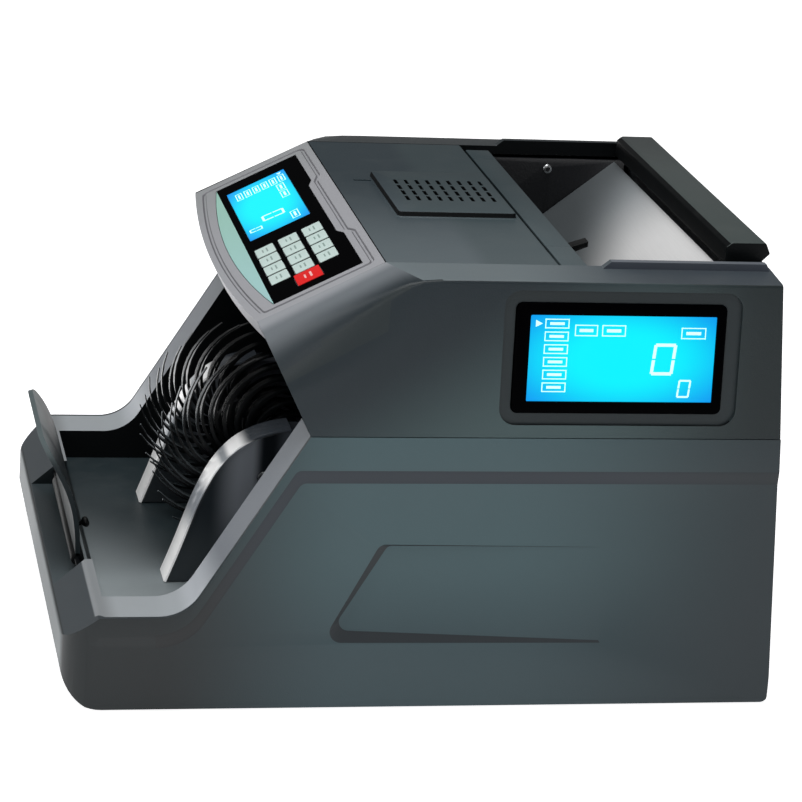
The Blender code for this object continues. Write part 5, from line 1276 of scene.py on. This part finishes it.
@dataclass
class SideDisplay:
    """The large display on the right side: gloss bezel, lit screen and its marks."""

    bezel_y: Span = (0.0334, 0.1352)
    bezel_h: Span = (0.0122, 0.0645)
    screen_y: Span = (0.0402, 0.1305)
    screen_h: Span = (0.0177, 0.0590)

    def build(self) -> None:
        """Make the bezel, the screen and the marks on the drafted side."""
        place = MACHINE.side_matrix()
        bezel = carried("display_bezel", fillet(rectangle(self.bezel_y, self.bezel_h), 0.003, 8), Axis.Z,
                        -0.0042, -0.0002, 0.0006)
        window = fillet(rectangle(self.screen_y, self.screen_h), 0.0008, 4)
        cut(bezel, carried("window", window, Axis.Z, -0.02, 0.02))
        dressed(smoothed(placed(bezel, place)), BEZEL_GLOSS, "body", "panel", "side_bezel")
        middle = place @ Vector((sum(self.screen_y) / 2, sum(self.screen_h) / 2, 0))
        outline = rectangle(grown(self.screen_y, -0.0001), grown(self.screen_h, -0.0001))
        screen = carried("display_screen", outline, Axis.Z, -0.0035, -0.0010, 0.0001, 1)
        finish = Screen("side screen light", "02f2ff", 0.16, (), "0490f0", tuple(middle),
                        (0.0, 18.0, 36.0), 0.98)
        dressed(placed(screen, place), finish, "body", "screen", "side_display")
        width, height = self.screen_y[1] - self.screen_y[0], self.screen_h[1] - self.screen_h[0]
        shift = Matrix.Translation((self.screen_y[0], self.screen_h[0], -0.00098))
        display = Display(width, height)
        dressed(display.sheet("display_marks", display.layout(), place @ shift), LIT_MARK, "body", "screen")


@dataclass
class Fascia:
    """The control fascia: bowed body, groove loop, printed panel, small display and thirteen keys."""

    bow: float = 0.0073
    chin: float = 0.009
    panel_half: float = 0.1015
    panel_front: float = 0.0103
    panel_rear: float = 0.0567
    crescent: float = 0.0085
    lcd_x: Span = (-0.0877, 0.0)
    lcd_s: Span = (0.0145, 0.0472)
    key_size: Span = (0.0130, 0.0101)
    margin: float = 0.0001
    pitch: Span = (0.0150, 0.0127)
    first: Span = (0.0241, 0.01875)

    @staticmethod
    def bowed(half: float, s: float, depth: float, count: int = 41) -> Array:
        """A shallow parabola from -half to half: s - depth * (1 - (x / half) squared)."""
        x = np.linspace(-half, half, count)
        return np.column_stack([x, s - depth * (1 - (x / half) ** 2)])

    def panel_outline(self, gap: float = 0.0) -> Array:
        """The printed panel's edge, with the long shallow step in its rear edge."""
        half, rear = self.panel_half - gap, self.panel_rear - gap
        rear_edge = np.array([(half, rear), (0.049, rear), (0.042, rear - 0.0026), (-0.042, rear - 0.0026),
                              (-0.049, rear), (-half, rear)])
        return np.vstack([self.bowed(half, self.panel_front + gap, self.crescent), rear_edge])

    def build(self) -> None:
        """Make the body, the panel, the display and the keys."""
        self.build_body()
        self.build_panel()
        self.build_keys()

    def build_body(self) -> None:
        """The light body: bowed front edge with its chin, pocket for the panel and a groove loop round it."""
        m = MACHINE
        half, rear = m.rail_x - 0.0003, m.fascia_length() - 0.0003
        outline = np.vstack([self.bowed(half, 0.0, self.bow), [(half, rear), (-half, rear)]])
        body = carried("control_fascia", outline, Axis.Z, -0.004, 0.0)
        front = self.bowed(half, 0.0, self.bow)
        back = front[::-1] + np.array([0.0, 0.004])
        join(body, carried("chin", np.vstack([front, back]), Axis.Z, -self.chin, -0.002))
        cut(body, carried("pocket", self.panel_outline(), Axis.Z, -0.0015, 0.02))
        loop = fillet(self.loop_corners(), 0.003, 5)
        section = [(-0.0016, 0.0003), (-0.0006, -0.0008), (0.0004, -0.0008), (0.0012, 0.0003)]
        cut(body, swept_loop("groove", loop, section, Matrix.Identity(4)))
        centre, normal = face_arrays(body)
        # Painted shade on the groove's sunk faces.
        sunk = (centre[:, 2] < -0.00004) & (centre[:, 2] > -0.0009) & (np.abs(normal[:, 2]) < 0.999)
        body.data.materials.append(FASCIA_PLASTIC.material())
        paint(body, GROOVE_SHADE_PLASTIC, sunk)
        softened(placed(body, m.fascia_matrix()), 0.0004, 3, 30)
        dressed(body, FASCIA_PLASTIC, "body", "fascia", "fascia")

    def loop_corners(self) -> Array:
        """The groove's course, a few millimetres outside the printed panel."""
        half, rear, step = self.panel_half + 0.0048, self.panel_rear + 0.0042, 0.0026
        rear_edge = np.array([(half, rear), (0.052, rear), (0.045, rear - step), (-0.045, rear - step),
                              (-0.052, rear), (-half, rear)])
        return np.vstack([self.bowed(half, self.panel_front - 0.0060, self.crescent - 0.0012, 25), rear_edge])

    def build_panel(self) -> None:
        """The printed film with holes for keys and display, and the lit display under it."""
        m = MACHINE
        panel = carried("printed_panel", self.panel_outline(0.0003), Axis.Z, -0.0012, 0.0)
        holes = [rectangle(grown((x - w / 2, x + w / 2), 0.0003), grown((s - d / 2, s + d / 2), 0.0003))
                 for _, x, s, w, d in self.key_spots()]
        holes.append(rectangle(grown(self.lcd_x, 0.0003), grown(self.lcd_s, 0.0003)))
        for hole in holes:
            cut(panel, carried("hole", fillet(hole, 0.0006, 3), Axis.Z, -0.02, 0.02))
        place = m.fascia_matrix()
        up = place.to_3x3() @ Vector((0, 1, 0))
        edge = place @ Vector((0, self.panel_front + 0.0003, 0))
        finish = Printed("printed film", "010102", 0.35, (), grain=0.0012, depth=0.01, dust=0.0, shine=0.004,
                         line_direction=tuple(up), line_at=edge.dot(up))
        dressed(smoothed(placed(panel, place)), finish, "body", "panel", "keypad_panel")
        outline = rectangle(self.lcd_x, self.lcd_s)
        screen = carried("fascia_screen", outline, Axis.Z, -0.0013, -0.0002, 0.0001, 1)
        centre = place @ Vector((sum(self.lcd_x) / 2, sum(self.lcd_s) / 2, 0))
        light = Screen("fascia screen light", "02f4ff", 0.16, (), "1478f0", tuple(centre),
                       (18.0, 44.0, 20.0), 0.98)
        dressed(placed(screen, place), light, "body", "screen", "front_display")
        width, height = self.lcd_x[1] - self.lcd_x[0], self.lcd_s[1] - self.lcd_s[0]
        display = Display(width, height, 0.00045)
        shift = Matrix.Translation((self.lcd_x[0], self.lcd_s[0], -0.00018))
        dressed(display.sheet("fascia_marks", display.layout(), place @ shift), LIT_MARK, "body", "screen")

    def key_spots(self) -> list[tuple[str, float, float, float, float]]:
        """Name, centre and size of each key, the wide red one last."""
        spots = []
        for row in range(3):
            for column in range(4):
                spots.append(("key_%02d" % (row * 4 + column + 1), self.first[0] + self.pitch[0] * column,
                              self.first[1] + self.pitch[1] * row, *self.key_size))
        return spots + [("start_key", 0.0848, self.first[1] + self.pitch[1], 0.0158, 0.0134)]

    def build_keys(self) -> None:
        """The keys: softly crowned pads, each with two short printed bars."""
        place = MACHINE.fascia_matrix()
        for name, x, s, width, depth in self.key_spots():
            red = name == "start_key"
            outline = rectangle((x - width / 2, x + width / 2), (s - depth / 2, s + depth / 2))
            outline = fillet(outline, 0.0008, 5)
            key = carried(name + "_pad", inset(outline, self.margin), Axis.Z, -0.0007, 0.0003, 0.00025, 4)
            dressed(smoothed(placed(key, place), 50), RED_RUBBER if red else KEY_RUBBER, name,
                    "red" if red else "key", name)
            card = Display(width, depth)
            marks = card.bars([(0.28, 0.56, 0.72, 0.64), (0.34, 0.34, 0.66, 0.41)])
            shift = Matrix.Translation((x - width / 2, s - depth / 2, 0.00028))
            dressed(card.sheet(name + "_marks", marks, place @ shift), RED_PRINT if red else KEY_PRINT, name,
                    "red" if red else "key")


@dataclass
class TopCover:
    """The hinged vented cover and the fixed strip behind it."""

    front: float = -0.0250
    rear: float = 0.0568
    thickness: float = 0.0036
    pad_x: Span = (-0.044, 0.035)
    pad_y: Span = (-0.0045, 0.0555)
    pad_height: float = 0.0030

    def build(self) -> None:
        """Make the cover with its slotted pad, and the strip with its parting line."""
        m = MACHINE
        low, radius, half = m.top - self.thickness, self.thickness / 2, m.rail_x - 0.0003
        turn = np.linspace(-math.pi / 2, math.pi / 2, 13)
        nose = np.column_stack([self.rear + radius * np.cos(turn), low + radius + radius * np.sin(turn)])
        undercut = self.front + self.thickness * math.tan(m.slope())
        outline = np.vstack([[(undercut, low)], nose, [(self.front, m.top)]])
        cover = carried("vented_cover", outline, Axis.X, -half, half)
        join(cover, self.pad())
        self.cut_slots(cover)
        grip = rectangle((-0.037, -0.0343), (-0.0140, -0.0050))
        cut(cover, carried("grip", grip, Axis.Z, m.top - 0.0012, 0.3))
        for side in (1, -1):
            span = ordered(side * 0.112, side * 0.1171)
            pin = carried("pin", circle((self.rear, low + radius), 0.0008, 16), Axis.X, *span)
            join(cover, pin)
        dressed(softened(cover, 0.00045, 3, 40), COVER_PLASTIC, "cover", "cover", "top_cover")
        # Painted shade on the pad's flanks and on the walls of its slots.
        centre, normal = face_arrays(cover)
        z, up = centre[:, 2], normal[:, 2]
        flank = (up < 0.6) & (z > m.top) & (z < m.top + self.pad_height - 0.0001)
        slots = (np.abs(up) < 0.3) & (np.abs(centre[:, 0] + 0.0066) < 0.0200) & (z > 0.2108)
        slots &= (centre[:, 1] > 0.003) & (centre[:, 1] < 0.051)
        paint(cover, SHADE_PLASTIC, (flank & (normal[:, 0] > -0.3)) | slots)
        self.build_strip()

    def pad(self) -> Piece:
        """The raised pad, with sloped flanks that meet the cover in a soft foot."""
        corner = 0.0022
        base = fillet(rectangle(self.pad_x, self.pad_y), corner, 6)
        levels = [(-0.0005, -0.0020), (-0.0005, 0.0), (0.0, 0.0006), (0.0003, self.pad_height - 0.0007),
                  (0.0006, self.pad_height - 0.0002), (0.0011, self.pad_height)]
        flat = np.stack([inset(base, by) for by, _ in levels])
        height = MACHINE.top + np.array([z for _, z in levels])
        levels = np.broadcast_to(height[:, None, None], flat.shape[:2] + (1,))
        return loft("pad", np.concatenate([flat, levels], 2))

    def cut_slots(self, cover: Piece) -> None:
        """Cut nine rows of four round-ended slots through the pad, all in one Boolean."""
        x = -0.0264 + 0.0105 * np.arange(4)
        y = 0.0044 + 0.0055 * np.arange(9)
        slot = fillet(rectangle((0.0, 0.0080), (0.0, 0.0015)), 0.0006, 4)
        spots = np.stack(np.meshgrid(x, y), -1).reshape(-1, 1, 1, 2)
        flat = np.broadcast_to(slot[None, None] + spots, (len(spots), 2, len(slot), 2))
        height = np.broadcast_to(np.array([0.205, 0.225])[None, :, None, None], flat.shape[:3] + (1,))
        cut(cover, loft("slots", np.concatenate([flat, height], 3)))

    def build_strip(self) -> None:
        """The strip between the cover and the hopper, bent down over the front wall of the hopper."""
        strip = merged_copy("hopper_strip", "cover_strip")
        cut(strip, carried("gap", rectangle((-0.2, -0.1040), (0.0, 0.2)), Axis.Z, 0.2050, 0.3))
        for x in (-0.0855, 0.0815):
            line = rectangle((x, x + 0.0005), (0.0560, 0.0760))
            cut(strip, carried("line", line, Axis.Z, MACHINE.top - 0.0005, 0.3))
        dressed(softened(strip, 0.0004, 3, 40), COVER_PLASTIC, "body", "cover", "hopper_strip")


@dataclass
class Hopper:
    """The note hopper: satin plate, rear bar and sensor hook; the screws of the side plates are made with the
    mechanism.
    """

    top: Span = (0.144, 0.208)
    slope: float = math.radians(39.0)
    length: float = 0.094
    half: float = 0.1112

    def point(self, along: Array, out: Array) -> Array:
        """(y, z) of points on the plate: from its top edge down the slope, then out of its face."""
        c, s = math.cos(self.slope), math.sin(self.slope)
        return np.stack([self.top[0] - along * c - out * s, self.top[1] - along * s + out * c], -1)

    def build(self) -> None:
        """Make the plate, the bar and the hook."""
        self.build_plate()
        self.build_bar()
        self.build_hook()

    def build_plate(self) -> None:
        """The plate with two roller slots; its lower edge rolls down in a small curve."""
        along = np.array([0.0, self.length, self.length, 0.0])
        outline = self.point(along, np.array([-0.0012, -0.0012, 0.0, 0.0]))
        plate = carried("note_plate", outline, Axis.X, -self.half, self.half)
        y, z = self.point(np.array(0.062), np.array(-0.0145))
        for side in (1, -1):
            spot = side * 0.026
            cut(plate, carried("slot", circle((y, z), 0.0175, 48), Axis.X, spot - 0.0075, spot + 0.0075))
        dressed(softened(plate, 0.0003, 2, 30), SATIN_METAL, "body", "satin", "hopper_plate")

    def build_bar(self) -> None:
        """The rear bar: rounded top corners, a sharp rear beak and rounded ends."""
        corners = [(0.1423, 0.2130), (0.1493, 0.2130), (0.1493, 0.2146), (0.1605, 0.2146), (0.1645, 0.2186),
                   (0.1620, 0.2240), (0.1450, 0.2240), (0.1423, 0.2218)]
        outline = fillet(corners, [0.0006, 0.0003, 0.0003, 0.0006, 0.0008, 0.0016, 0.0026, 0.0012], 6)
        bar = carried("hopper_bar", outline, Axis.X, -0.1043, 0.1043, 0.0005, 3)
        dressed(smoothed(bar, 50), BAR_PLASTIC, "body", "bar", "rear_bar")
        # Painted shade on the bar's ends and on its faces turned to the front.
        normal = face_arrays(bar)[1]
        paint(bar, SHADE_PLASTIC, (np.abs(normal[:, 0]) > 0.9) | (normal[:, 1] < -0.6))

    def build_hook(self) -> None:
        """The small sensor hook in front of the notes."""
        hook = merged_copy("hopper_sensor", "sensor_hook")
        dressed(softened(hook, 0.0004, 2, 30), BLACK_PLASTIC, "body", "plastic", "hopper_sensor")


@dataclass
class Stacker:
    """The two fan wheels on their shaft, and the guides with their polished strips."""

    centre: Span = (-0.0675, 0.088)
    radius: float = 0.052
    hub: float = 0.013
    fingers: int = 20
    rows: int = 2
    sweep: float = math.radians(78.0)
    wheel_x: float = 0.028
    width: float = 0.016
    guide_x: Span = (0.048, 0.0625)
    curve: tuple[Span, ...] = ((-0.113, 0.0333), (-0.1073, 0.0491), (-0.1023, 0.0642), (-0.098, 0.0765),
                               (-0.0913, 0.0905), (-0.0834, 0.1005), (-0.075, 0.1066), (-0.0652, 0.1105),
                               (-0.0554, 0.1125))

    def build(self) -> None:
        """Make both wheels, the shaft and both guides."""
        for label, side in (("left", -1), ("right", 1)):
            self.build_wheel(label, side)
            self.build_guide(label, side)
        shaft = merged_copy("stacker_shaft", "fan_shaft")
        dressed(softened(shaft, 0.0003, 2, 40), STEEL, "stacker", "steel", "stacker_shaft")

    def finger_rings(self, phase: Array, x_low: float, x_high: float) -> Array:
        """Cross sections of every finger of one row.

        A finger's middle line leaves the hub at its phase angle and trails by sweep * share ** 1.5 while
        its radius grows evenly; its half thickness shrinks evenly, measured along the line's own normal.

        Args:
            phase: (fingers,) starting angles.
            x_low: One side of the row.
            x_high: The other side.

        Returns:
            (fingers, stations, 4, 3) points.
        """
        share = np.linspace(0, 1, 17)
        reach = self.hub * 0.6 + (self.radius - 0.0008 - self.hub * 0.6) * share
        angle = phase[:, None] - self.sweep * share**1.45
        line = np.stack([np.cos(angle), np.sin(angle)], -1) * reach[:, None]
        ahead = unit(np.gradient(line, axis=1))
        normal = np.stack([-ahead[..., 1], ahead[..., 0]], -1)
        half = (0.0012 - 0.00095 * share)[:, None]
        front, back = line + normal * half, line - normal * half
        flat = np.stack([front, front, back, back], 2) + np.array(self.centre)
        middle, width = (x_low + x_high) / 2, (x_high - x_low) / 2 * (1 - 0.75 * share**3)
        x = middle + width[:, None] * np.array([-1, 1, 1, -1])
        x = np.broadcast_to(x, flat.shape[:3])[..., None]
        return np.concatenate([x, flat], -1)

    def build_wheel(self, label: str, side: int) -> None:
        """A wheel: a turned hub and rows of thin curved fingers, each row a little ahead."""
        middle = side * self.wheel_x
        low, high = middle - self.width / 2, middle + self.width / 2
        hub_profile = [(low, 0.0033), (low, 0.0118), (low + 0.0009, self.hub), (high - 0.0009, self.hub),
                       (high, 0.0118), (high, 0.0033)]
        wheel = turned_body("fan_hub_" + label, hub_profile, self.centre)
        dressed(smoothed(wheel), FAN_PLASTIC, "stacker", "fan", "fan_wheel_" + label)
        base = np.linspace(0, 2 * math.pi, self.fingers, endpoint=False)
        pitch, gap = (self.width - 0.0012) / self.rows, 0.0004
        rows = []
        for row in range(self.rows):
            start = low + 0.0006 + pitch * row
            phase = base + row * 2 * math.pi / self.fingers / self.rows
            rows.append(self.finger_rings(phase, start + gap / 2, start + pitch - gap / 2))
        fingers = loft("fan_fingers_" + label, np.concatenate(rows))
        dressed(smoothed(fingers, 40), FAN_PLASTIC, "stacker", "fan")
        # Painted sheen on the fingers' broad faces; their sides stay black.
        paint(fingers, BLADE_SHEEN_PLASTIC, np.abs(face_arrays(fingers)[1][:, 0]) < 0.5)

    def build_guide(self, label: str, side: int) -> None:
        """A guide with a smooth front curve, and the polished strip that is bent over it."""
        line = smooth_curve(self.curve, 49)
        span = ordered(side * self.guide_x[0], side * self.guide_x[1])
        outline = np.vstack([line, [(-0.030, self.curve[-1][1]), (-0.030, self.curve[0][1])]])
        guide = carried("note_guide_" + label, outline, Axis.X, *span)
        cut(guide, carried("hole", circle(self.centre, 0.0031, 24), Axis.X, *grown(span, 0.003)))
        dressed(softened(guide, 0.0006, 3, 30), GUIDE_PLASTIC, "body", "guide", "guide_" + label)
        ahead = unit(np.gradient(line, axis=0))
        out = np.column_stack([-ahead[:, 1], ahead[:, 0]])
        inner, outer = line + out * 0.0003, line + out * 0.0016
        floor = self.curve[0][1]
        inner[:, 1], outer[:, 1] = np.maximum(inner[:, 1], floor), np.maximum(outer[:, 1], floor)
        strip = carried("bright_strip_" + label, np.vstack([inner, outer[::-1]]), Axis.X, *grown(span, 0.001),
                        0.0003, 2)
        dressed(smoothed(strip, 40), POLISHED_METAL, "body", "polished", "guide_strip_" + label)


@dataclass
class Stopper:
    """The smoked plate at the tray's front, with its barrel and knob."""

    hinge: Span = (-0.1565, 0.0425)
    half: float = 0.055
    height: float = 0.0595
    thickness: float = 0.0025
    reach: float = 0.0195
    corner: float = 0.022
    bow: float = 0.0055

    def build(self) -> None:
        """Make the plate upright, lean it, and add the barrel, the knob and the pin."""
        t = self.thickness / 2
        lean = math.asin(self.reach / math.hypot(self.height, t)) - math.atan2(t, self.height)
        place = Matrix.Translation((0, *self.hinge)) @ Matrix.Rotation(lean, 4, "X")
        plate = softened(placed(self.plate(), place), 0.0006, 3, 40)
        dressed(plate, SMOKED_PLASTIC, "front_stopper", "stopper", "stopper")
        round_bar = circle((0, 0), 0.0033, 32)
        barrel = carried("stopper_barrel", round_bar, Axis.X, -self.half, self.half, 0.0004, 2)
        cut(barrel, carried("bore", circle((0, 0), 0.0017, 24), Axis.X, -0.1, 0.1))
        dressed(smoothed(placed(barrel, place)), BLACK_PLASTIC, "front_stopper", "stopper")
        profile = np.array([(0.0010, 0.0010), (0.0042, 0.0011), (0.0048, 0.0018), (0.0056, 0.0026),
                            (0.0066, 0.0028), (0.0075, 0.0024), (0.0080, 0.0012)])
        knob = turned_body("stopper_knob", profile, (0.0, 0.0), 32)
        stand = Matrix.Translation((0.038, 0.0024, 0.011)) @ Matrix.Rotation(math.pi / 2, 4, "Z")
        dressed(smoothed(placed(knob, place @ stand), 50), BLACK_PLASTIC, "front_stopper", "stopper")
        pin = merged_copy("stopper_pin", "hinge_pin")
        dressed(softened(pin, 0.0003, 2, 40), DARK_STEEL, "body", "steel", "stopper_pin")

    def plate(self) -> Piece:
        """The upright plate: its sides draw in along quarter circles at the top, and it bows backwards.

        At height v the plate moves back by bow * sin(pi * share of the height), and above the corner's
        start its half width is half - corner + sqrt(corner squared - (v - start) squared).

        Returns:
            The plate, standing on its hinge line.
        """
        v = np.concatenate([np.linspace(-0.0055, self.height - self.corner, 15)[:-1],
                            self.height - self.corner * (1 - np.sin(np.linspace(0, math.pi / 2, 14)))])
        over = np.maximum(v - (self.height - self.corner), 0.0)
        width = self.half - self.corner + np.sqrt(np.maximum(self.corner**2 - over**2, 1e-9))
        back = self.bow * np.sin(math.pi * np.clip(v / self.height, -0.12, 1.0))
        t = self.thickness / 2
        x = width[:, None] * np.array([-1, 1, 1, -1])
        y = back[:, None] + np.array([-t, -t, t, t])
        return loft("stopper_plate", np.stack([x, y, np.broadcast_to(v[:, None], x.shape)], -1))


@dataclass
class Mechanism:
    """Everything inside and below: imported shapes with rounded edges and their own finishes."""

    parts: dict[str, tuple[str, Finish, str, str, float]] = field(default_factory=lambda: {
        "base_plate": ("bottom_plate", PLATE_STEEL, "body", "steel", 0.0003),
        "frame_left": ("side_plate_left", FRAME_PAINT, "body", "frame", 0.0003),
        "frame_right": ("side_plate_right", FRAME_PAINT, "body", "frame", 0.0003),
        "pickup_shaft": ("pickup_axle", STEEL, "pickup_rollers", "steel", 0.0003),
        "pickup_roller_left": ("pickup_tyre_left", ROLLER_RUBBER, "pickup_rollers", "rubber", 0.0007),
        "pickup_roller_right": ("pickup_tyre_right", ROLLER_RUBBER, "pickup_rollers", "rubber", 0.0007),
        "feed_shaft": ("feed_axle", STEEL, "feed_rollers", "steel", 0.0003),
        "feed_roller_left": ("feed_tyre_left", ROLLER_RUBBER, "feed_rollers", "rubber", 0.0007),
        "feed_roller_right": ("feed_tyre_right", ROLLER_RUBBER, "feed_rollers", "rubber", 0.0007),
        "feed_pulley": ("feed_belt_wheel", BLACK_PLASTIC, "feed_rollers", "plastic", 0.0003),
        "retard_roller": ("retard_tyre", ROLLER_RUBBER, "body", "rubber", 0.0005),
        "retard_bracket": ("hopper_front_wall", FRAME_PAINT, "body", "plastic", 0.0004),
        "gap_knob": ("gap_dial", BLACK_PLASTIC, "gap_adjuster", "plastic", 0.0003),
        "transport_roller": ("transport_tyre", ROLLER_RUBBER, "transport", "rubber", 0.0004),
        "main_motor": ("drive_motor", PLATE_STEEL, "body", "steel", 0.0008),
        "motor_pulley": ("motor_belt_wheel", STEEL, "motor_rotor", "steel", 0.0003),
        "drive_belt": ("main_belt", ROLLER_RUBBER, "body", "rubber", 0.0002),
        "stacker_belt": ("fan_belt", ROLLER_RUBBER, "body", "rubber", 0.0002),
        "main_board": ("circuit_board", BOARD_LACQUER, "body", "board", 0.0002),
        "power_supply": ("supply_box", PLATE_STEEL, "body", "steel", 0.0005),
        "power_inlet": ("mains_inlet", BLACK_PLASTIC, "body", "plastic", 0.0004),
        "power_rocker": ("mains_rocker", BLACK_PLASTIC, "rocker", "plastic", 0.0005),
        "foot_front_left": ("rest_front_left", FOOT_RUBBER, "body", "rubber", 0.0006),
        "foot_front_right": ("rest_front_right", FOOT_RUBBER, "body", "rubber", 0.0006),
        "foot_rear_left": ("rest_rear_left", FOOT_RUBBER, "body", "rubber", 0.0006),
        "foot_rear_right": ("rest_rear_right", FOOT_RUBBER, "body", "rubber", 0.0006),
    })

    def build(self) -> None:
        """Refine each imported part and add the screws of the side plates."""
        for node, (name, finish, body, slot, edge) in self.parts.items():
            piece = softened(merged_copy(node, name), edge, 2, 40)
            dressed(piece, finish, body, slot, node)
        for label, side in (("left", -1), ("right", 1)):
            self.build_screw(label, side)

    def build_screw(self, label: str, side: int) -> None:
        """A domed screw head with a hexagonal socket, seen inside the hopper."""
        x = side * 0.1115
        inwards = -side
        profile = np.array([(x, 0.0026), (x + inwards * 0.0006, 0.0026), (x + inwards * 0.0011, 0.0022),
                            (x + inwards * 0.0013, 0.0013), (x + inwards * 0.0007, 0.0012),
                            (x + inwards * 0.0007, 0.0002)])
        screw = turned_body("plate_screw_" + label, profile, (0.107, 0.203), 32)
        dressed(smoothed(screw), SCREW_STEEL, "body", "steel")


@dataclass
class Studio:
    """Floor, lamps and the camera of the photograph."""

    azimuth: float = math.radians(77.76)
    elevation: float = math.radians(18.39)
    roll: float = math.radians(4.37)
    distance: float = 1.5888
    target: Vector3 = (0.0, 0.0117, 0.1072)
    lens: float = 139.11

    def build(self) -> None:
        """Set the stage."""
        self.build_floor()
        self.build_world()
        self.build_lamps()
        self.build_camera()

    def build_floor(self) -> None:
        """A wide pale floor that keeps a faint shadow and shows white to the camera."""
        points = np.array([(-6, -6, 0), (6, -6, 0), (6, 6, 0), (-6, 6, 0)], float)
        floor = mesh_from("floor", points, np.array([[0, 1, 2, 3]]))
        made = bpy.data.materials.new("floor paint")
        made.use_nodes = True
        graph = Graph(made.node_tree)
        shader = made.node_tree.nodes["Principled BSDF"]
        shader.inputs["Base Color"].default_value = (0.85, 0.85, 0.86, 1)
        shader.inputs["Roughness"].default_value = 0.9
        path = graph.node("LightPath")
        seen = graph.math("MAXIMUM", path.outputs["Is Camera Ray"], path.outputs["Is Glossy Ray"])
        seen = graph.math("MAXIMUM", seen, path.outputs["Is Transmission Ray"])
        shader.inputs["Emission Color"].default_value = (1, 1, 1, 1)
        graph.feed(shader.inputs["Emission Strength"], graph.math("MULTIPLY", seen, 0.88))
        floor.data.materials.append(made)

    def build_world(self) -> None:
        """An even pale surround, white where it is seen or reflected."""
        world = bpy.data.worlds.new("studio")
        bpy.context.scene.world = world
        world.use_nodes = True
        graph = Graph(world.node_tree)
        ground = world.node_tree.nodes["Background"]
        path = graph.node("LightPath")
        graph.feed(ground.inputs["Strength"], graph.ramp(path.outputs["Is Camera Ray"], 0.0, 1.0, 0.20, 1.0))
        ground.inputs["Color"].default_value = (1, 1, 1, 1)

    def lamp(self, name: str, place: Vector3, size: Span, watts: float) -> None:
        """Add a soft rectangular lamp that looks at the machine.

        Args:
            name: Name of the lamp.
            place: Where it hangs.
            size: Its width and height.
            watts: Its power.
        """
        data = bpy.data.lights.new(name, "AREA")
        data.shape, data.energy = "RECTANGLE", watts
        data.size, data.size_y = size
        made = bpy.data.objects.new(name, data)
        made.location = place
        made.rotation_euler = (Vector((0, 0, 0.1)) - Vector(place)).to_track_quat("-Z", "Y").to_euler()
        bpy.context.scene.collection.objects.link(made)

    def build_lamps(self) -> None:
        """Three soft lamps: above, from the camera's side and from the tray's side."""
        self.lamp("overhead", (0.3, -0.2, 1.9), (1.2, 1.2), 19)
        self.lamp("side", (2.0, -0.3, 1.2), (1.0, 0.8), 7)
        self.lamp("front", (0.5, -1.9, 0.9), (1.0, 0.8), 8)

    def build_camera(self) -> None:
        """The camera fitted to the photograph: looking down the azimuth and elevation, rolled a little."""
        a, e, r = self.azimuth, self.elevation, self.roll
        right = np.array([math.cos(a), math.sin(a), 0])
        up = np.array([-math.sin(a) * math.sin(e), math.cos(a) * math.sin(e), math.cos(e)])
        forward = np.array([-math.sin(a) * math.cos(e), math.cos(a) * math.cos(e), -math.sin(e)])
        right, up = math.cos(r) * right + math.sin(r) * up, -math.sin(r) * right + math.cos(r) * up
        place = np.array(self.target) - forward * self.distance
        data = bpy.data.cameras.new("photograph")
        data.lens, data.sensor_width = self.lens, 36.0
        data.clip_start, data.clip_end = 0.01, 50.0
        camera = bpy.data.objects.new("photograph", data)
        rows = np.column_stack([right, up, -forward, place])
        camera.matrix_world = Matrix([*map(tuple, rows), (0, 0, 0, 1)])
        bpy.context.scene.collection.objects.link(camera)
        bpy.context.scene.camera = camera


def main() -> None:
    """Build every sub-assembly in order, then the studio."""
    logging.basicConfig(level=logging.INFO, format="%(message)s")
    bpy.context.scene.view_settings.view_transform = "Standard"
    for part in (LowerHousing(), UpperHousing(), SideDisplay(), Fascia(), TopCover(), Hopper(), Stacker(),
                 Stopper(), Mechanism(), Studio()):
        part.build()
        LOG.info("%s is built", type(part).__name__)


if __name__ == "__main__":
    main()
